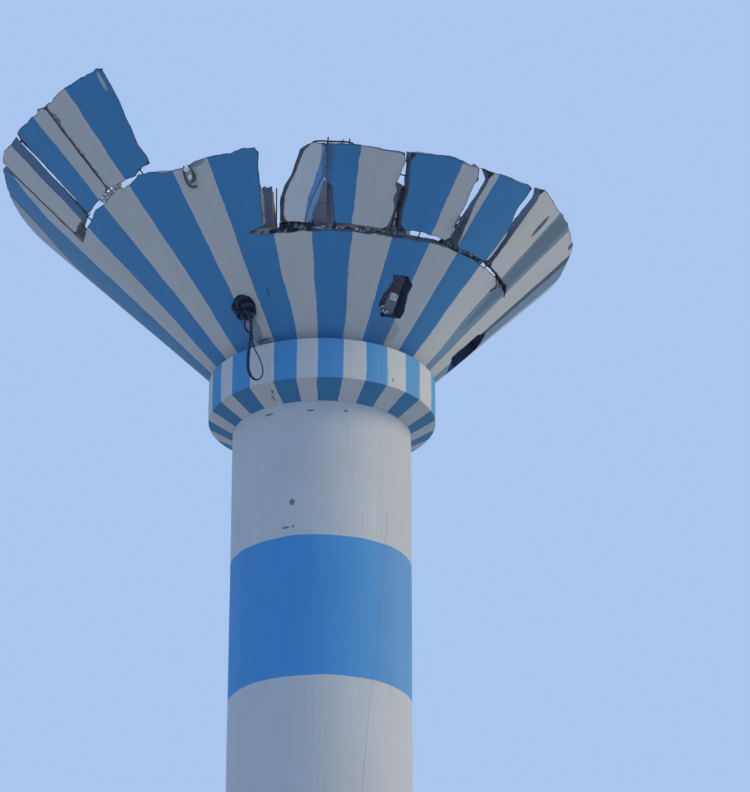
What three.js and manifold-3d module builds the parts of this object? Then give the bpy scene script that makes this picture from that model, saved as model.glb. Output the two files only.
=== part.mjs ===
// Cone water tower of reinforced concrete, part way through demolition.
// Millimetres and degrees, +Z up, origin on the shaft's axis at ground level.
// Azimuth 0 is the front (-Y) and grows towards the right (+X).
import * as THREE from "three";
import { mergeVertices } from "three/addons/utils/BufferGeometryUtils.js";
import Module from "manifold-3d";

const wasm = await Module();
wasm.setup();

// Driving dimensions
const GAP = 0.3; // clearance between pieces that touch
const SEAM = 0.0056; // degrees taken off each side of an upright seam
const SHAFT_R = 1200;
const SHAFT_WALL = 180;
const SHAFT_ARCS = 8;
const FACET = 4.5; // degrees, on the shaft and all that fits round it
const SHAFT_HEAD = 19300; // where the ring beam's soffit meets the shaft
const RING_R = 1532;
const RING_LIP = 19490; // lower outer edge of the ring beam
const RING_TOP = 20060;
const CONE_FOOT_R = 1333; // the cone rises at 45 degrees from the ring's top
const CONE_FOOT_T = 230; // cone wall thickness at its foot, square to the face
const CONE_RIM_T = 140;
const RIM_R = 4370; // what is left of the old rim
const MID_R = 3440; // present edge on the right and at the back
const FRONT_R = 3270; // present edge at the front, where it has crumbled more
const UPPER_CUT_R = 3340; // middle of the upper left saw cut
const CUT_R = 2465; // middle of the front saw cut
const CUT_WIDTH = 100; // saw cut, along the slope
const TUBE_TOP = 22570;
const DOOR_HEIGHT = 2100;
const FLOOR_T = 150;
const SILL_INNER_R = 900;
const BAR_R = 9; // reinforcement, radius

// Finishes
const PALE = 0xb4bcc6;
const BLUE = 0x3f7fbd;
const SHAFT_PAINT = 0xc9c8c4;
const RAW = 0x77747a;
const RUST = 0x5b4a42;
const STEEL = 0x5f6f7c;
const STRAP = 0x15171c;

const tower = new THREE.Group();

function addPiece(name, geometry, color, roughness = 0.85, metalness = 0) {
  const mesh = new THREE.Mesh(geometry, new THREE.MeshStandardMaterial({ color, roughness, metalness }));
  mesh.name = name;
  tower.add(mesh);
}

function polar(azimuth, radius, z) {
  const angle = THREE.MathUtils.degToRad(azimuth);
  return new THREE.Vector3(radius * Math.sin(angle), -radius * Math.cos(angle), z);
}

// A repeatable number from -1 to 1, for broken edges
function chance(place, seed) {
  const wave = Math.sin(place * 12.9898 + seed * 78.233) * 43758.5453;
  return 2 * (wave - Math.floor(wave)) - 1;
}

// A closed block lofted through loops of points. Each loop runs up its outer
// side and down its inner side, so that its two halves pair off at the ends.
function loft(loops, closed = false) {
  const count = loops[0].length;
  const faces = [];
  const spans = closed ? loops.length : loops.length - 1;
  for (let i = 0; i < spans; i += 1) {
    const here = i * count;
    const next = ((i + 1) % loops.length) * count;
    for (let k = 0; k < count; k += 1) {
      const m = (k + 1) % count;
      faces.push(here + k, here + m, next + m);
      faces.push(here + k, next + m, next + k);
    }
  }
  if (!closed) {
    const last = (loops.length - 1) * count;
    for (let k = 0; k < count / 2 - 1; k += 1) {
      const far = count - 1 - k;
      faces.push(k + 1, k, far, k + 1, far, far - 1);
      faces.push(last + k, last + k + 1, last + far, last + k + 1, last + far - 1, last + far);
    }
  }
  const geometry = new THREE.BufferGeometry().setFromPoints(loops.flat());
  geometry.setIndex(volumeOf(loops.flat(), faces) < 0 ? faces.reverse() : faces);
  return geometry;
}

function volumeOf(points, faces) {
  let total = 0;
  for (let i = 0; i < faces.length; i += 3) {
    const [a, b, c] = [points[faces[i]], points[faces[i + 1]], points[faces[i + 2]]];
    total += a.dot(b.clone().cross(c));
  }
  return total;
}

function solid(geometry) {
  const plain = geometry.clone();
  plain.deleteAttribute("normal");
  plain.deleteAttribute("uv");
  const merged = mergeVertices(plain, 1e-3);
  const vertProperties = Float32Array.from(merged.attributes.position.array);
  const triVerts = Uint32Array.from(merged.index.array);
  return new wasm.Manifold(new wasm.Mesh({ numProp: 3, vertProperties, triVerts }));
}

function geometryOf(body) {
  const mesh = body.getMesh();
  const geometry = new THREE.BufferGeometry();
  geometry.setAttribute("position", new THREE.BufferAttribute(Float32Array.from(mesh.vertProperties), 3));
  geometry.setIndex(Array.from(mesh.triVerts));
  return geometry;
}

function fuse(geometries) {
  return geometryOf(geometries.map(solid).reduce((sum, body) => sum.add(body)));
}

function cut(geometry, cutters) {
  return geometryOf(cutters.map(solid).reduce((rest, body) => rest.subtract(body), solid(geometry)));
}

function columnsBetween(from, to, step) {
  const count = Math.max(1, Math.round((to - from) / step));
  return Array.from({ length: count + 1 }, (_, i) => from + ((to - from) * i) / count);
}

// Round walls: an arc of a tube, with a head that may be broken and that falls
// a little towards the inside
const HEAD_FALL = 20;

function tubeArc(from, to, outer, inner, low, head) {
  const loops = columnsBetween(from, to, FACET).map((azimuth) => {
    const top = head(azimuth);
    return [
      polar(azimuth, outer, low),
      polar(azimuth, outer, top),
      polar(azimuth, inner, top - HEAD_FALL),
      polar(azimuth, inner, low),
    ];
  });
  return loft(loops);
}

function fullRing(profile) {
  const loops = columnsBetween(0, 360, FACET).slice(0, -1);
  return loft(loops.map((azimuth) => profile.map(([radius, z]) => polar(azimuth, radius, z))), true);
}

// The cone wall. A place on its outer face is an azimuth and a slope distance
// from the foot; depth is measured square to the face, into the tank.
const SLOPE = Math.SQRT1_2;
const RIM_SLOPE = slopeAt(RIM_R);

function slopeAt(radius) {
  return (radius - CONE_FOOT_R) / SLOPE;
}

function wallDepth(distance) {
  return CONE_FOOT_T + ((CONE_RIM_T - CONE_FOOT_T) * distance) / RIM_SLOPE;
}

function onCone(azimuth, distance, depth) {
  const radius = CONE_FOOT_R + (distance - depth) * SLOPE;
  return polar(azimuth, radius, RING_TOP + GAP + (distance + depth) * SLOPE);
}

// Where the inner face of the cone meets the shaft's stub
const KNEE_R = SHAFT_R + 1;
const KNEE = kneeDistance();

function kneeDistance() {
  const taper = (CONE_RIM_T - CONE_FOOT_T) / RIM_SLOPE;
  return (CONE_FOOT_T * SLOPE - (CONE_FOOT_R - KNEE_R)) / (SLOPE * (1 - taper));
}

// A sector of the cone wall. sides gives its left and right edge as azimuths at
// the slope distances low and high. drop lowers the top edge by azimuth, crumble
// roughens it, lift moves the foot and head out of the cone's face, and bevel
// takes the inner edge of the left side this many degrees further left.
const FOOT_ROW = 0.08; // height of the row of points just over the cone's foot

function coneSector(sides, low, high, options = {}) {
  const { drop = () => 0, crumble = 0, crumbleFrom = -360, seed = 1 } = options;
  const { lift = [0, 0], step = 3, bevel = 0 } = options;
  const [leftLow, leftHigh, rightLow, rightHigh] = sides;
  const width = Math.max(rightLow, rightHigh) - Math.min(leftLow, leftHigh);
  const count = Math.max(1, Math.round(width / step));
  const loops = [];
  for (let i = 0; i <= count; i += 1) {
    const bottom = leftLow + ((rightLow - leftLow) * i) / count;
    const top = leftHigh + ((rightHigh - leftHigh) * i) / count;
    const chip = top > crumbleFrom ? crumble * chance(Math.round(top * 2), seed) : 0;
    const up = 1 + (chip - drop(top)) / (high - low);
    const slant = i === 0 ? bevel : 0;
    const outside = onCone(bottom, low, -lift[0]);
    const inside = low > 0
      ? [onCone(bottom - slant, low, wallDepth(low) - lift[0])]
      : [onCone(bottom, KNEE, wallDepth(KNEE)), polar(bottom, KNEE_R, RING_TOP + GAP)];
    const outsideHead = outside.clone().lerp(onCone(top, high, -lift[1]), up);
    const insideHead = inside[0].clone().lerp(onCone(top - slant, high, wallDepth(high) - lift[1]), up);
    const outsideMiddle = low > 0 ? [] : [outside.clone().lerp(outsideHead, FOOT_ROW)];
    loops.push([outside, ...outsideMiddle, outsideHead, insideHead, ...inside]);
  }
  return loft(loops);
}

function straight(from, to) {
  return [from + SEAM, from + SEAM, to - SEAM, to - SEAM];
}

// A ragged hole through the cone wall, as a prism square to the face
function slingHole(azimuth, distance, width, height, seed, inset = 0, from = -150, to = 450) {
  const corners = 9;
  const points = Array.from({ length: corners }, (_, i) => {
    const angle = (2 * Math.PI * i) / corners;
    const reach = 0.5 - 0.1 * Math.abs(chance(i, seed));
    const x = (width * reach - inset) * Math.cos(angle);
    const y = (height * reach - inset) * Math.sin(angle);
    return new THREE.Vector2(x, y);
  });
  const depth = to - from;
  const prism = new THREE.ExtrudeGeometry(new THREE.Shape(points), { depth, bevelEnabled: false });
  const across = polar(azimuth - 90, 1, 0);
  const upSlope = onCone(azimuth, 1, 0).sub(onCone(azimuth, 0, 0));
  const inward = onCone(azimuth, 0, 1).sub(onCone(azimuth, 0, 0));
  const frame = new THREE.Matrix4().makeBasis(across, upSlope, inward);
  frame.setPosition(onCone(azimuth, distance, from));
  return prism.applyMatrix4(frame);
}

// Bars: a six-sided rod along a list of points
function rod(points, radius, sides = 6, steps = points.length - 1) {
  const ring = Array.from({ length: sides }, (_, i) => {
    const angle = (2 * Math.PI * i) / sides;
    return new THREE.Vector2(radius * Math.cos(angle), radius * Math.sin(angle));
  });
  const path = points.length > 2 ? new THREE.CatmullRomCurve3(points) : new THREE.LineCurve3(...points);
  const options = { steps, bevelEnabled: false, extrudePath: path };
  return new THREE.ExtrudeGeometry(new THREE.Shape(ring), options);
}

// Reinforcement left in a saw cut that runs round the cone: one hoop, with
// short bars across it from lip to lip, in the middle of the wall
function hoopMat(from, to, distance, skip = () => false) {
  const half = CUT_WIDTH / 2 - GAP;
  const sag = 1; // the upper lip's flat facets dip this far into the cut
  const depth = wallDepth(distance) / 2;
  const hoopPoints = columnsBetween(from, to, 3).map((azimuth) => onCone(azimuth, distance, depth));
  const bars = [rod(hoopPoints, BAR_R)];
  for (const azimuth of columnsBetween(from + 1, to - 1, 4)) {
    if (!skip(azimuth)) {
      const ends = [distance - half, distance + half - sag];
      bars.push(rod(ends.map((place) => onCone(azimuth, place, depth)), BAR_R));
    }
  }
  return bars;
}

// Reinforcement across an upright gap between two panels: hoops every 200 mm,
// joined by one bar that runs up the gap and starts at the hoop of the cut below.
// left and right give each panel's edge as azimuths at the foot and the top.
function gapBars(left, right, start, low, high, drop = () => 0) {
  const edgeAt = (side, distance) => {
    const foot = onCone(side[0], low, wallDepth(low) / 2);
    const head = onCone(side[1], high, wallDepth(high) / 2);
    return foot.lerp(head, (distance - low) / (high - low));
  };
  const middle = (distance) => edgeAt(left, distance).lerp(edgeAt(right, distance), 0.5);
  const end = high - drop(left[1]) - 60;
  const twist = 5; // the panels' slanting sides stray this far from flat
  const bars = [rod([middle(start), middle(end)], BAR_R)];
  const spacing = 200;
  for (let distance = low + 100; distance < end; distance += spacing) {
    const from = edgeAt(left, distance);
    const to = edgeAt(right, distance);
    const along = to.clone().sub(from).normalize();
    const trim = (side) => {
      const slant = Math.abs(along.dot(edgeAt(side, end).sub(edgeAt(side, low)).normalize()));
      return (twist + (BAR_R * slant) / Math.sqrt(1 - slant * slant)) / from.distanceTo(to);
    };
    bars.push(rod([from.clone().lerp(to, trim(left)), to.clone().lerp(from, trim(right))], BAR_R));
  }
  return bars;
}

// Shaft: eight arcs, the front one standing over the doorway
const ARC = 360 / SHAFT_ARCS;
for (let i = 0; i < SHAFT_ARCS; i += 1) {
  const middle = i * ARC;
  const low = i === 0 ? DOOR_HEIGHT : 0;
  const from = middle - ARC / 2 + SEAM;
  const to = middle + ARC / 2 - SEAM;
  const arc = tubeArc(from, to, SHAFT_R, SHAFT_R - SHAFT_WALL, low, () => RING_TOP);
  addPiece(`shaft_wall_${i + 1}`, arc, SHAFT_PAINT);
}

// Ground floor slab, with the sill that runs out through the doorway
const floorInner = SHAFT_R - SHAFT_WALL - GAP;
const slab = new THREE.CylinderGeometry(floorInner, floorInner, FLOOR_T, 360 / FACET);
slab.rotateX(Math.PI / 2);
slab.translate(0, 0, FLOOR_T / 2);
const sill = tubeArc(-ARC / 2 + 2 * SEAM, ARC / 2 - 2 * SEAM, SHAFT_R, SILL_INNER_R, 0, () => FLOOR_T);
addPiece("ground_floor", fuse([slab, sill]), RAW, 0.95);

// Doorway: steel frame set between the arcs, and the leaf shut in it
const LEAF_WIDTH = 780;
const LEAF_T = 50;
const FRAME_EDGE = 60;
const FRAME_OUTER_R = 1195;
const FRAME_INNER_R = 1060;
const FRAME_FRONT = -1160;
const leafLow = FLOOR_T + FRAME_EDGE;
const leafHigh = DOOR_HEIGHT - FRAME_EDGE;
const frameWalls = tubeArc(-ARC / 2 + 2 * SEAM, ARC / 2 - 2 * SEAM, FRAME_OUTER_R, FRAME_INNER_R,
  FLOOR_T + GAP, () => DOOR_HEIGHT - GAP);
const leafHole = new THREE.BoxGeometry(LEAF_WIDTH, SHAFT_R / 2, leafHigh - leafLow);
leafHole.translate(0, FRAME_FRONT, (leafHigh + leafLow) / 2);
addPiece("door_frame", cut(frameWalls, [leafHole]), STEEL, 0.5, 0.6);
const leaf = new THREE.BoxGeometry(LEAF_WIDTH - 2 * GAP, LEAF_T, leafHigh - leafLow - 2 * GAP);
leaf.translate(0, FRAME_FRONT + LEAF_T, (leafHigh + leafLow) / 2);
addPiece("door_leaf", leaf, STEEL, 0.5, 0.6);

// Ring beam under the cone
const ring = fullRing([
  [SHAFT_R + GAP, SHAFT_HEAD],
  [RING_R, RING_LIP],
  [RING_R, RING_TOP],
  [SHAFT_R + GAP, RING_TOP],
]);
addPiece("support_ring", ring, BLUE);

// Broken stub of the shaft inside the tank, with a slot in its front
const SLOT = [-34, -13]; // azimuths of the slot
const SLOT_FLOOR = 21700;
const TUBE_RAGGED = 70; // how far the stub's broken head strays up and down
const tubeHead = (seed) => (azimuth) => {
  const inSlot = azimuth > SLOT[0] && azimuth < SLOT[1];
  return (inSlot ? SLOT_FLOOR : TUBE_TOP) + TUBE_RAGGED * chance(Math.round(azimuth), seed);
};
[-90, 0, 90, 180].forEach((from, i) => {
  const arc = tubeArc(from + SEAM, from + 90 - SEAM, SHAFT_R, SHAFT_R - SHAFT_WALL, RING_TOP + GAP,
    tubeHead(i + 3));
  addPiece(`inner_tube_${i + 1}`, arc, RAW, 0.95);
});

// Saw cuts round the cone, and its present edges
const frontCut = slopeAt(CUT_R);
const frontLip = frontCut - CUT_WIDTH / 2;
const panelFoot = frontCut + CUT_WIDTH / 2;
const upperCut = slopeAt(UPPER_CUT_R);
const upperLip = upperCut - CUT_WIDTH / 2;
const rimFoot = upperCut + CUT_WIDTH / 2;
const midEdge = slopeAt(MID_R);
const rimEdge = slopeAt(RIM_R);

// How far the broken edges stray up and down
const CRUMBLE = 30;
const RIM_CRUMBLE = 25;

// The front edge rises to the level of the right side between these azimuths
const RISE = [18, 62];
function frontDrop(azimuth) {
  const up = THREE.MathUtils.clamp((azimuth - RISE[0]) / (RISE[1] - RISE[0]), 0, 1);
  return (1 - up) * (midEdge - slopeAt(FRONT_R));
}

// Front wall below the cut; the middle sector has the right sling hole
const FRONT = [-15, 15.6, 46.2, 76.8];
const rightHole = slingHole(31.5, slopeAt(1870), 400, 620, 5);
for (let i = 0; i < 3; i += 1) {
  const wall = coneSector(straight(FRONT[i], FRONT[i + 1]), 0, frontLip);
  addPiece(`cone_front_${i + 1}`, i === 1 ? cut(wall, [rightHole]) : wall, PALE);
}

// Left wall up to the upper cut; over the front cut its edge is the slanting side
// of the notch
const NOTCH = [-18.6, -15.3]; // azimuth of that side at its foot and top
const LEFT_HOLE = [-35, slopeAt(1790), 350, 370, 6]; // azimuth, slope distance, width, height, outline
const leftHole = slingHole(...LEFT_HOLE);
const CUT_END = -42; // azimuth where the upper left cut ends in open sky
const leftFoot = coneSector(straight(-50, FRONT[0]), 0, frontLip);
const leftOver = [-50 + SEAM, -50 + SEAM, ...NOTCH];
const leftTop = { crumble: CRUMBLE, crumbleFrom: CUT_END + 3, seed: 2 };
const leftHead = coneSector(leftOver, frontLip - 1, upperLip, leftTop);
addPiece("cone_left_1", cut(fuse([leftFoot, leftHead]), [leftHole]), BLUE);
addPiece("cone_left_2", coneSector(straight(-84, -50), 0, upperLip), BLUE);

// Left and back wall that still reaches the old rim
const TALL = [-165, -138, -111, -84];
for (let i = 0; i < 3; i += 1) {
  const edge = { crumble: RIM_CRUMBLE, seed: 11 + i };
  const wall = coneSector(straight(TALL[i], TALL[i + 1]), 0, rimEdge, edge);
  addPiece(`cone_tall_${3 - i}`, wall, BLUE);
}

// Right and back wall, down at the middle level. The first sector carries the
// last panel over the front cut, the second has the side sling hole.
const BACK = [FRONT[3], 90, 125, 160, 195];
const LAST_PANEL = [59.4, 58.3]; // its left edge at the foot and the top
const sideHole = slingHole(99, slopeAt(2000), 330, 700, 9);
for (let i = 0; i < 4; i += 1) {
  const edge = { crumble: CRUMBLE, seed: 21 + i };
  let wall = coneSector(straight(BACK[i], BACK[i + 1]), 0, midEdge, edge);
  if (i === 0) {
    const overCut = [...LAST_PANEL, FRONT[3] + 2, FRONT[3] + 2];
    wall = fuse([wall, coneSector(overCut, panelFoot, midEdge, { ...edge, drop: frontDrop })]);
  }
  if (i === 1) {
    wall = cut(wall, [sideHole]);
  }
  addPiece(`cone_back_${i + 1}`, wall, PALE);
}

// Sawn panels over the front cut: left and right edge at the foot and the top.
// The first one's left side is broken off on the slant.
const BROKEN_SIDE = 1.9;
const PANELS = [
  [3.2, 2.2, 22, 19.8],
  [23.1, 20.7, 42, 38.6],
  [43.5, 40.4, 58.2, 56.4],
];
PANELS.forEach((sides, i) => {
  const edge = { drop: frontDrop, crumble: CRUMBLE, seed: 31 + i, bevel: i === 0 ? BROKEN_SIDE : 0 };
  const panel = coneSector(sides, panelFoot, midEdge, edge);
  addPiece(`panel_${i + 1}`, panel, i === 1 ? BLUE : PALE);
});

// The tipped panel stands on rubble in the cut and leans on the first panel
const RUBBLE_HEIGHT = 110;
const rubbleSides = [-13.6, -13.2, -3, -3.4];
const rubble = coneSector(rubbleSides, frontLip + GAP, frontLip + RUBBLE_HEIGHT, { step: 2 });
addPiece("rubble_wedge", rubble, RAW, 0.95);
const looseFoot = frontLip + RUBBLE_HEIGHT + 2 * GAP;
const TIP_OUT = 70; // how far its head stands out of the cone's face
const looseSides = [-12.5, -4.6, -4.2, 0.27];
const loose = coneSector(looseSides, looseFoot, slopeAt(FRONT_R), { lift: [0, TIP_OUT], step: 2 });
addPiece("loose_panel", loose, PALE);

// Cracked panels at the upper left, up to the old rim
const CRACKS = [[-59.1, -58.2], [-71.7, -71.2]]; // left and right edge of each crack
const RIM_PANELS = [
  [CRACKS[0][1], CUT_END],
  [CRACKS[1][1], CRACKS[0][0]],
  [TALL[3] + 0.3, CRACKS[1][0]],
];
RIM_PANELS.forEach(([from, to], i) => {
  const edge = { crumble: RIM_CRUMBLE, seed: 41 + i };
  const panel = coneSector([from, from, to, to], rimFoot, rimEdge, edge);
  addPiece(`rim_panel_${i + 1}`, panel, i === 1 ? PALE : BLUE);
});

// Reinforcement in the cuts and gaps, each mat fused into one piece
const betweenPanels = (azimuth) => azimuth < PANELS[0][0] || PANELS.some((sides, i) => {
  const next = i < 2 ? PANELS[i + 1][0] : LAST_PANEL[0];
  return azimuth > sides[2] - 1 && azimuth < next + 1;
});
const frontBars = hoopMat(1.2, 76.2, frontCut, betweenPanels);
PANELS.forEach((sides, i) => {
  const left = [sides[2], sides[3]];
  const right = (i < 2 ? PANELS[i + 1] : LAST_PANEL).slice(0, 2);
  frontBars.push(...gapBars(left, right, frontCut, panelFoot, midEdge, frontDrop));
});
addPiece("front_rebar", fuse(frontBars), RUST, 0.9, 0.2);

const inCrack = (azimuth) => CRACKS.some(([left, right]) => azimuth > left - 1 && azimuth < right + 1);
const upperBars = hoopMat(TALL[3] + 0.6, CUT_END, upperCut, inCrack);
CRACKS.forEach(([left, right]) => {
  upperBars.push(...gapBars([left, left], [right, right], upperCut, rimFoot, rimEdge));
});
addPiece("upper_rebar", fuse(upperBars), RUST, 0.9, 0.2);

// Lifting strap left in the left sling hole: its knot fills the hole, and one
// loop hangs from the knot. The route gives millimetres to the right, outwards
// and up from a point on the knot's face, 70 mm down the slope from its middle.
const KNOT_OUT = 110;
const knot = slingHole(...LEFT_HOLE, 0.5, -KNOT_OUT, 60);
addPiece("sling_knot", knot, STRAP, 0.9);
const STRAP_R = 20;
const strapExit = onCone(LEFT_HOLE[0], LEFT_HOLE[1] - 70, -KNOT_OUT - 2 * GAP);
const route = [
  [105, 18, 18], [105, 32, 4], [112, 46, -18], [127, 52, -60], [145, 49, -110], [158, 45, -165],
  [160, 45, -260], [156, 45, -374], [142, 45, -476], [127, 45, -575], [118, 45, -697],
  [122, 45, -798], [149, 45, -899], [203, 44, -980], [262, 38, -1016], [312, 28, -1000],
  [337, 18, -950], [334, 8, -880], [313, -1, -812], [284, -8, -739], [249, -11, -658],
  [207, -12, -583], [171, -12, -507], [152, -11, -423], [141, -10, -319], [130, -9, -215],
  [116, -2, -140], [98, 4, -95], [84, 5, -58], [80, -7, -35], [80, -21, -21],
];
const toRight = polar(LEFT_HOLE[0] + 90, 1, 0);
const outwards = polar(LEFT_HOLE[0], 1, 0);
const strapPoints = route.map(([right, out, up]) => strapExit.clone()
  .addScaledVector(toRight, right)
  .addScaledVector(outwards, out)
  .add(new THREE.Vector3(0, 0, up)));
addPiece("sling", rod(strapPoints, STRAP_R, 8, 44), STRAP, 0.9);

export default tower;
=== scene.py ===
import math
import random

import bmesh
import bpy
import numpy as np
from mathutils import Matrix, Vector, noise
from mathutils.geometry import delaunay_2d_cdt
from mathutils.kdtree import KDTree


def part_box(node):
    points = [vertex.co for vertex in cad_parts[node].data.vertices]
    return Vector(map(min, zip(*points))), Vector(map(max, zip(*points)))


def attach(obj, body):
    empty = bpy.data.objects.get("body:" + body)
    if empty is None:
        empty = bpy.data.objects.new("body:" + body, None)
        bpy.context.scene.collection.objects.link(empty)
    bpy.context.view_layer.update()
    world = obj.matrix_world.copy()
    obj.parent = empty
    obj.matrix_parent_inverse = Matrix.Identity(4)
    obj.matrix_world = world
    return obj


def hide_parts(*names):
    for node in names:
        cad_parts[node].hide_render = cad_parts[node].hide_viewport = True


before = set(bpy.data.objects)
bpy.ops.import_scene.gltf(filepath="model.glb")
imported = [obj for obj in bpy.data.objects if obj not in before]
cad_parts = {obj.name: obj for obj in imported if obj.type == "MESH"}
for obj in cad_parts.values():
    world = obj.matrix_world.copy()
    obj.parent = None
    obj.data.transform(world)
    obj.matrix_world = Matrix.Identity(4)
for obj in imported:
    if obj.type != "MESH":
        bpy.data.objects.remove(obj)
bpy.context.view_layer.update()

# The place where the tower is shown: a wide pale floor under a pale blue
# surround, with one broad soft lamp from the right. The camera stands at eye
# height in front of the shaft and looks up at the tank.
EYE_HEIGHT = 1.6
CAMERA_AWAY = 40.13
CAMERA_TILT = 24.531
CAMERA_PAN = -1.02
LENS = 148.18
SENSOR_HEIGHT = 36
SEEN_TO = 600
lens = bpy.data.cameras.new("camera")
lens.sensor_fit = "VERTICAL"
lens.sensor_height = SENSOR_HEIGHT
lens.lens = LENS
lens.clip_end = SEEN_TO
camera = bpy.data.objects.new("camera", lens)
camera.location = (0, -CAMERA_AWAY, EYE_HEIGHT)
camera.rotation_euler = (math.radians(90 + CAMERA_TILT), 0, math.radians(CAMERA_PAN))
bpy.context.collection.objects.link(camera)
bpy.context.scene.camera = camera
bpy.context.scene.view_settings.view_transform = "Standard"

SKY_BLUE = (0.402, 0.565, 0.865, 1)
surround = bpy.data.worlds.new("surround")
surround.use_nodes = True
surround.node_tree.nodes["Background"].inputs["Color"].default_value = SKY_BLUE
bpy.context.scene.world = surround

LAMP_FROM = 80
LAMP_HEIGHT = 37
LAMP_SPREAD = 25
LAMP_POWER = 1.73
LAMP_COLOR = (1.0, 0.80, 0.40)
soft_lamp = bpy.data.lights.new("soft_lamp", "SUN")
soft_lamp.energy = LAMP_POWER
soft_lamp.color = LAMP_COLOR
soft_lamp.angle = math.radians(LAMP_SPREAD)
lamp = bpy.data.objects.new("soft_lamp", soft_lamp)
lamp.rotation_euler = (math.radians(90 - LAMP_HEIGHT), 0, math.radians(LAMP_FROM))
bpy.context.collection.objects.link(lamp)

FLOOR_R = 130
FLOOR_SUNK = 0.01
FLOOR_TONE = (0.42, 0.42, 0.41)
disc = bmesh.new()
bmesh.ops.create_circle(disc, cap_ends=True, segments=96, radius=FLOOR_R)
floor_mesh = bpy.data.meshes.new("floor")
disc.to_mesh(floor_mesh)
disc.free()
floor = bpy.data.objects.new("floor", floor_mesh)
floor.location.z = -FLOOR_SUNK
bpy.context.collection.objects.link(floor)


class Wire:
    """A socket of a material's nodes. Sums on it add Math nodes."""

    def __init__(self, socket):
        self.socket = socket

    def node(self, kind, settings=None, inputs=None, output=0):
        """Any other node: its type, its settings, then the values or links of its sockets."""
        made = self.socket.id_data.nodes.new("ShaderNode" + kind)
        for name, value in (settings or {}).items():
            setattr(made, name, value)
        for name, value in (inputs or {}).items():
            if isinstance(value, Wire):
                self.socket.id_data.links.new(value.socket, made.inputs[name])
            else:
                made.inputs[name].default_value = value
        return Wire(made.outputs[output])

    def math(self, operation, *values):
        return self.node("Math", {"operation": operation}, dict(enumerate(values)))

    def __add__(self, other):
        return self.math("ADD", self, other)

    def __sub__(self, other):
        return self.math("SUBTRACT", self, other)

    def __rsub__(self, other):
        return self.math("SUBTRACT", other, self)

    def __mul__(self, other):
        return self.math("MULTIPLY", self, other)

    def __truediv__(self, other):
        return self.math("DIVIDE", self, other)

    def __pow__(self, other):
        return self.math("POWER", self, other)

    def __lt__(self, other):
        return self.math("LESS_THAN", self, other)

    def __gt__(self, other):
        return self.math("GREATER_THAN", self, other)

    def __neg__(self):
        return self.math("MULTIPLY", self, -1)

    __radd__ = __add__
    __rmul__ = __mul__


def new_finish(name):
    """A material, its shader, and the place on the object that its pattern starts from."""
    material = bpy.data.materials.new(name)
    material.use_nodes = True
    shader = material.node_tree.nodes["Principled BSDF"]
    place = Wire(material.node_tree.nodes.new("ShaderNodeTexCoord").outputs["Object"])
    return material, shader, place


def plug(shader, **wires):
    """Links each wire to the socket of the shader that it is named after."""
    for name, wire in wires.items():
        wire.socket.id_data.links.new(wire.socket, shader.inputs[name.replace("_", " ")])


def speckle(place, scale, detail=4, roughness=0.6):
    """Soft noise from 0 to 1, with this many specks to a metre."""
    settings = {"Vector": place, "Scale": scale, "Detail": detail, "Roughness": roughness}
    return place.node("TexNoise", None, settings)


def times(vector, x, y, z):
    """A place or a colour with each of its three numbers multiplied."""
    return vector.node("VectorMath", {"operation": "MULTIPLY"}, {0: vector, 1: (x, y, z)})


def fade(value, low, high, out_low=0, out_high=1):
    """Goes smoothly from out_low at low to out_high at high."""
    limits = {"Value": value, "From Min": low, "From Max": high, "To Min": out_low, "To Max": out_high}
    return value.node("MapRange", {"interpolation_type": "SMOOTHSTEP"}, limits)


def blend(share, first, second):
    """first where share is 0, and second where it is 1."""
    return share.node("Mix", {"data_type": "RGBA"}, {0: share, 6: first, 7: second}, 2)


def shade(color, share):
    """The colour made lighter or darker by a number."""
    return share.node("VectorMath", {"operation": "SCALE"}, {0: color, "Scale": share})


def bump(height, distance, strength=1.0):
    return height.node("Bump", None, {"Height": height, "Distance": distance, "Strength": strength})


floor_finish, floor_shader, floor_place = new_finish("pale_floor")
floor_tone = speckle(floor_place, 0.4) * 0.02 + 0.99
plug(floor_shader, Base_Color=shade(FLOOR_TONE, floor_tone))
floor_shader.inputs["Roughness"].default_value = 0.9
floor_mesh.materials.append(floor_finish)

# The lifting strap: one loop of black webbing, 40 mm wide. It hangs from a knot
# jammed in the left sling hole, turns over once at its lowest point, and both of
# its ends go back into that knot.
FOOT_R = 1.333
FOOT_Z = 20.0603
SLOPE = math.sqrt(0.5)
HOLE_AZIMUTH = -35
HOLE_R = 1.79
KNOT_OUT = 0.1106
KNOT_DROP = 0.07
STRAP_R = 0.020
STRAP_FLAT = 0.42
STRAP_TONE = (0.016, 0.036, 0.085)
TURNS_OVER = (0.40, 0.54)


def polar(azimuth, radius, z):
    """The point at an azimuth, in degrees round the axis from the front, growing to the right."""
    turn = math.radians(azimuth)
    return Vector((radius * math.sin(turn), -radius * math.cos(turn), z))


def slope_at(radius):
    """How far up the slope from the cone's foot its outer face has this radius."""
    return (radius - FOOT_R) / SLOPE


def on_cone(azimuth, distance, depth):
    """The point this far up the slope from the cone's foot, and this deep in its wall."""
    radius = FOOT_R + (distance - depth) * SLOPE
    return polar(azimuth, radius, FOOT_Z + (distance + depth) * SLOPE)


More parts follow.
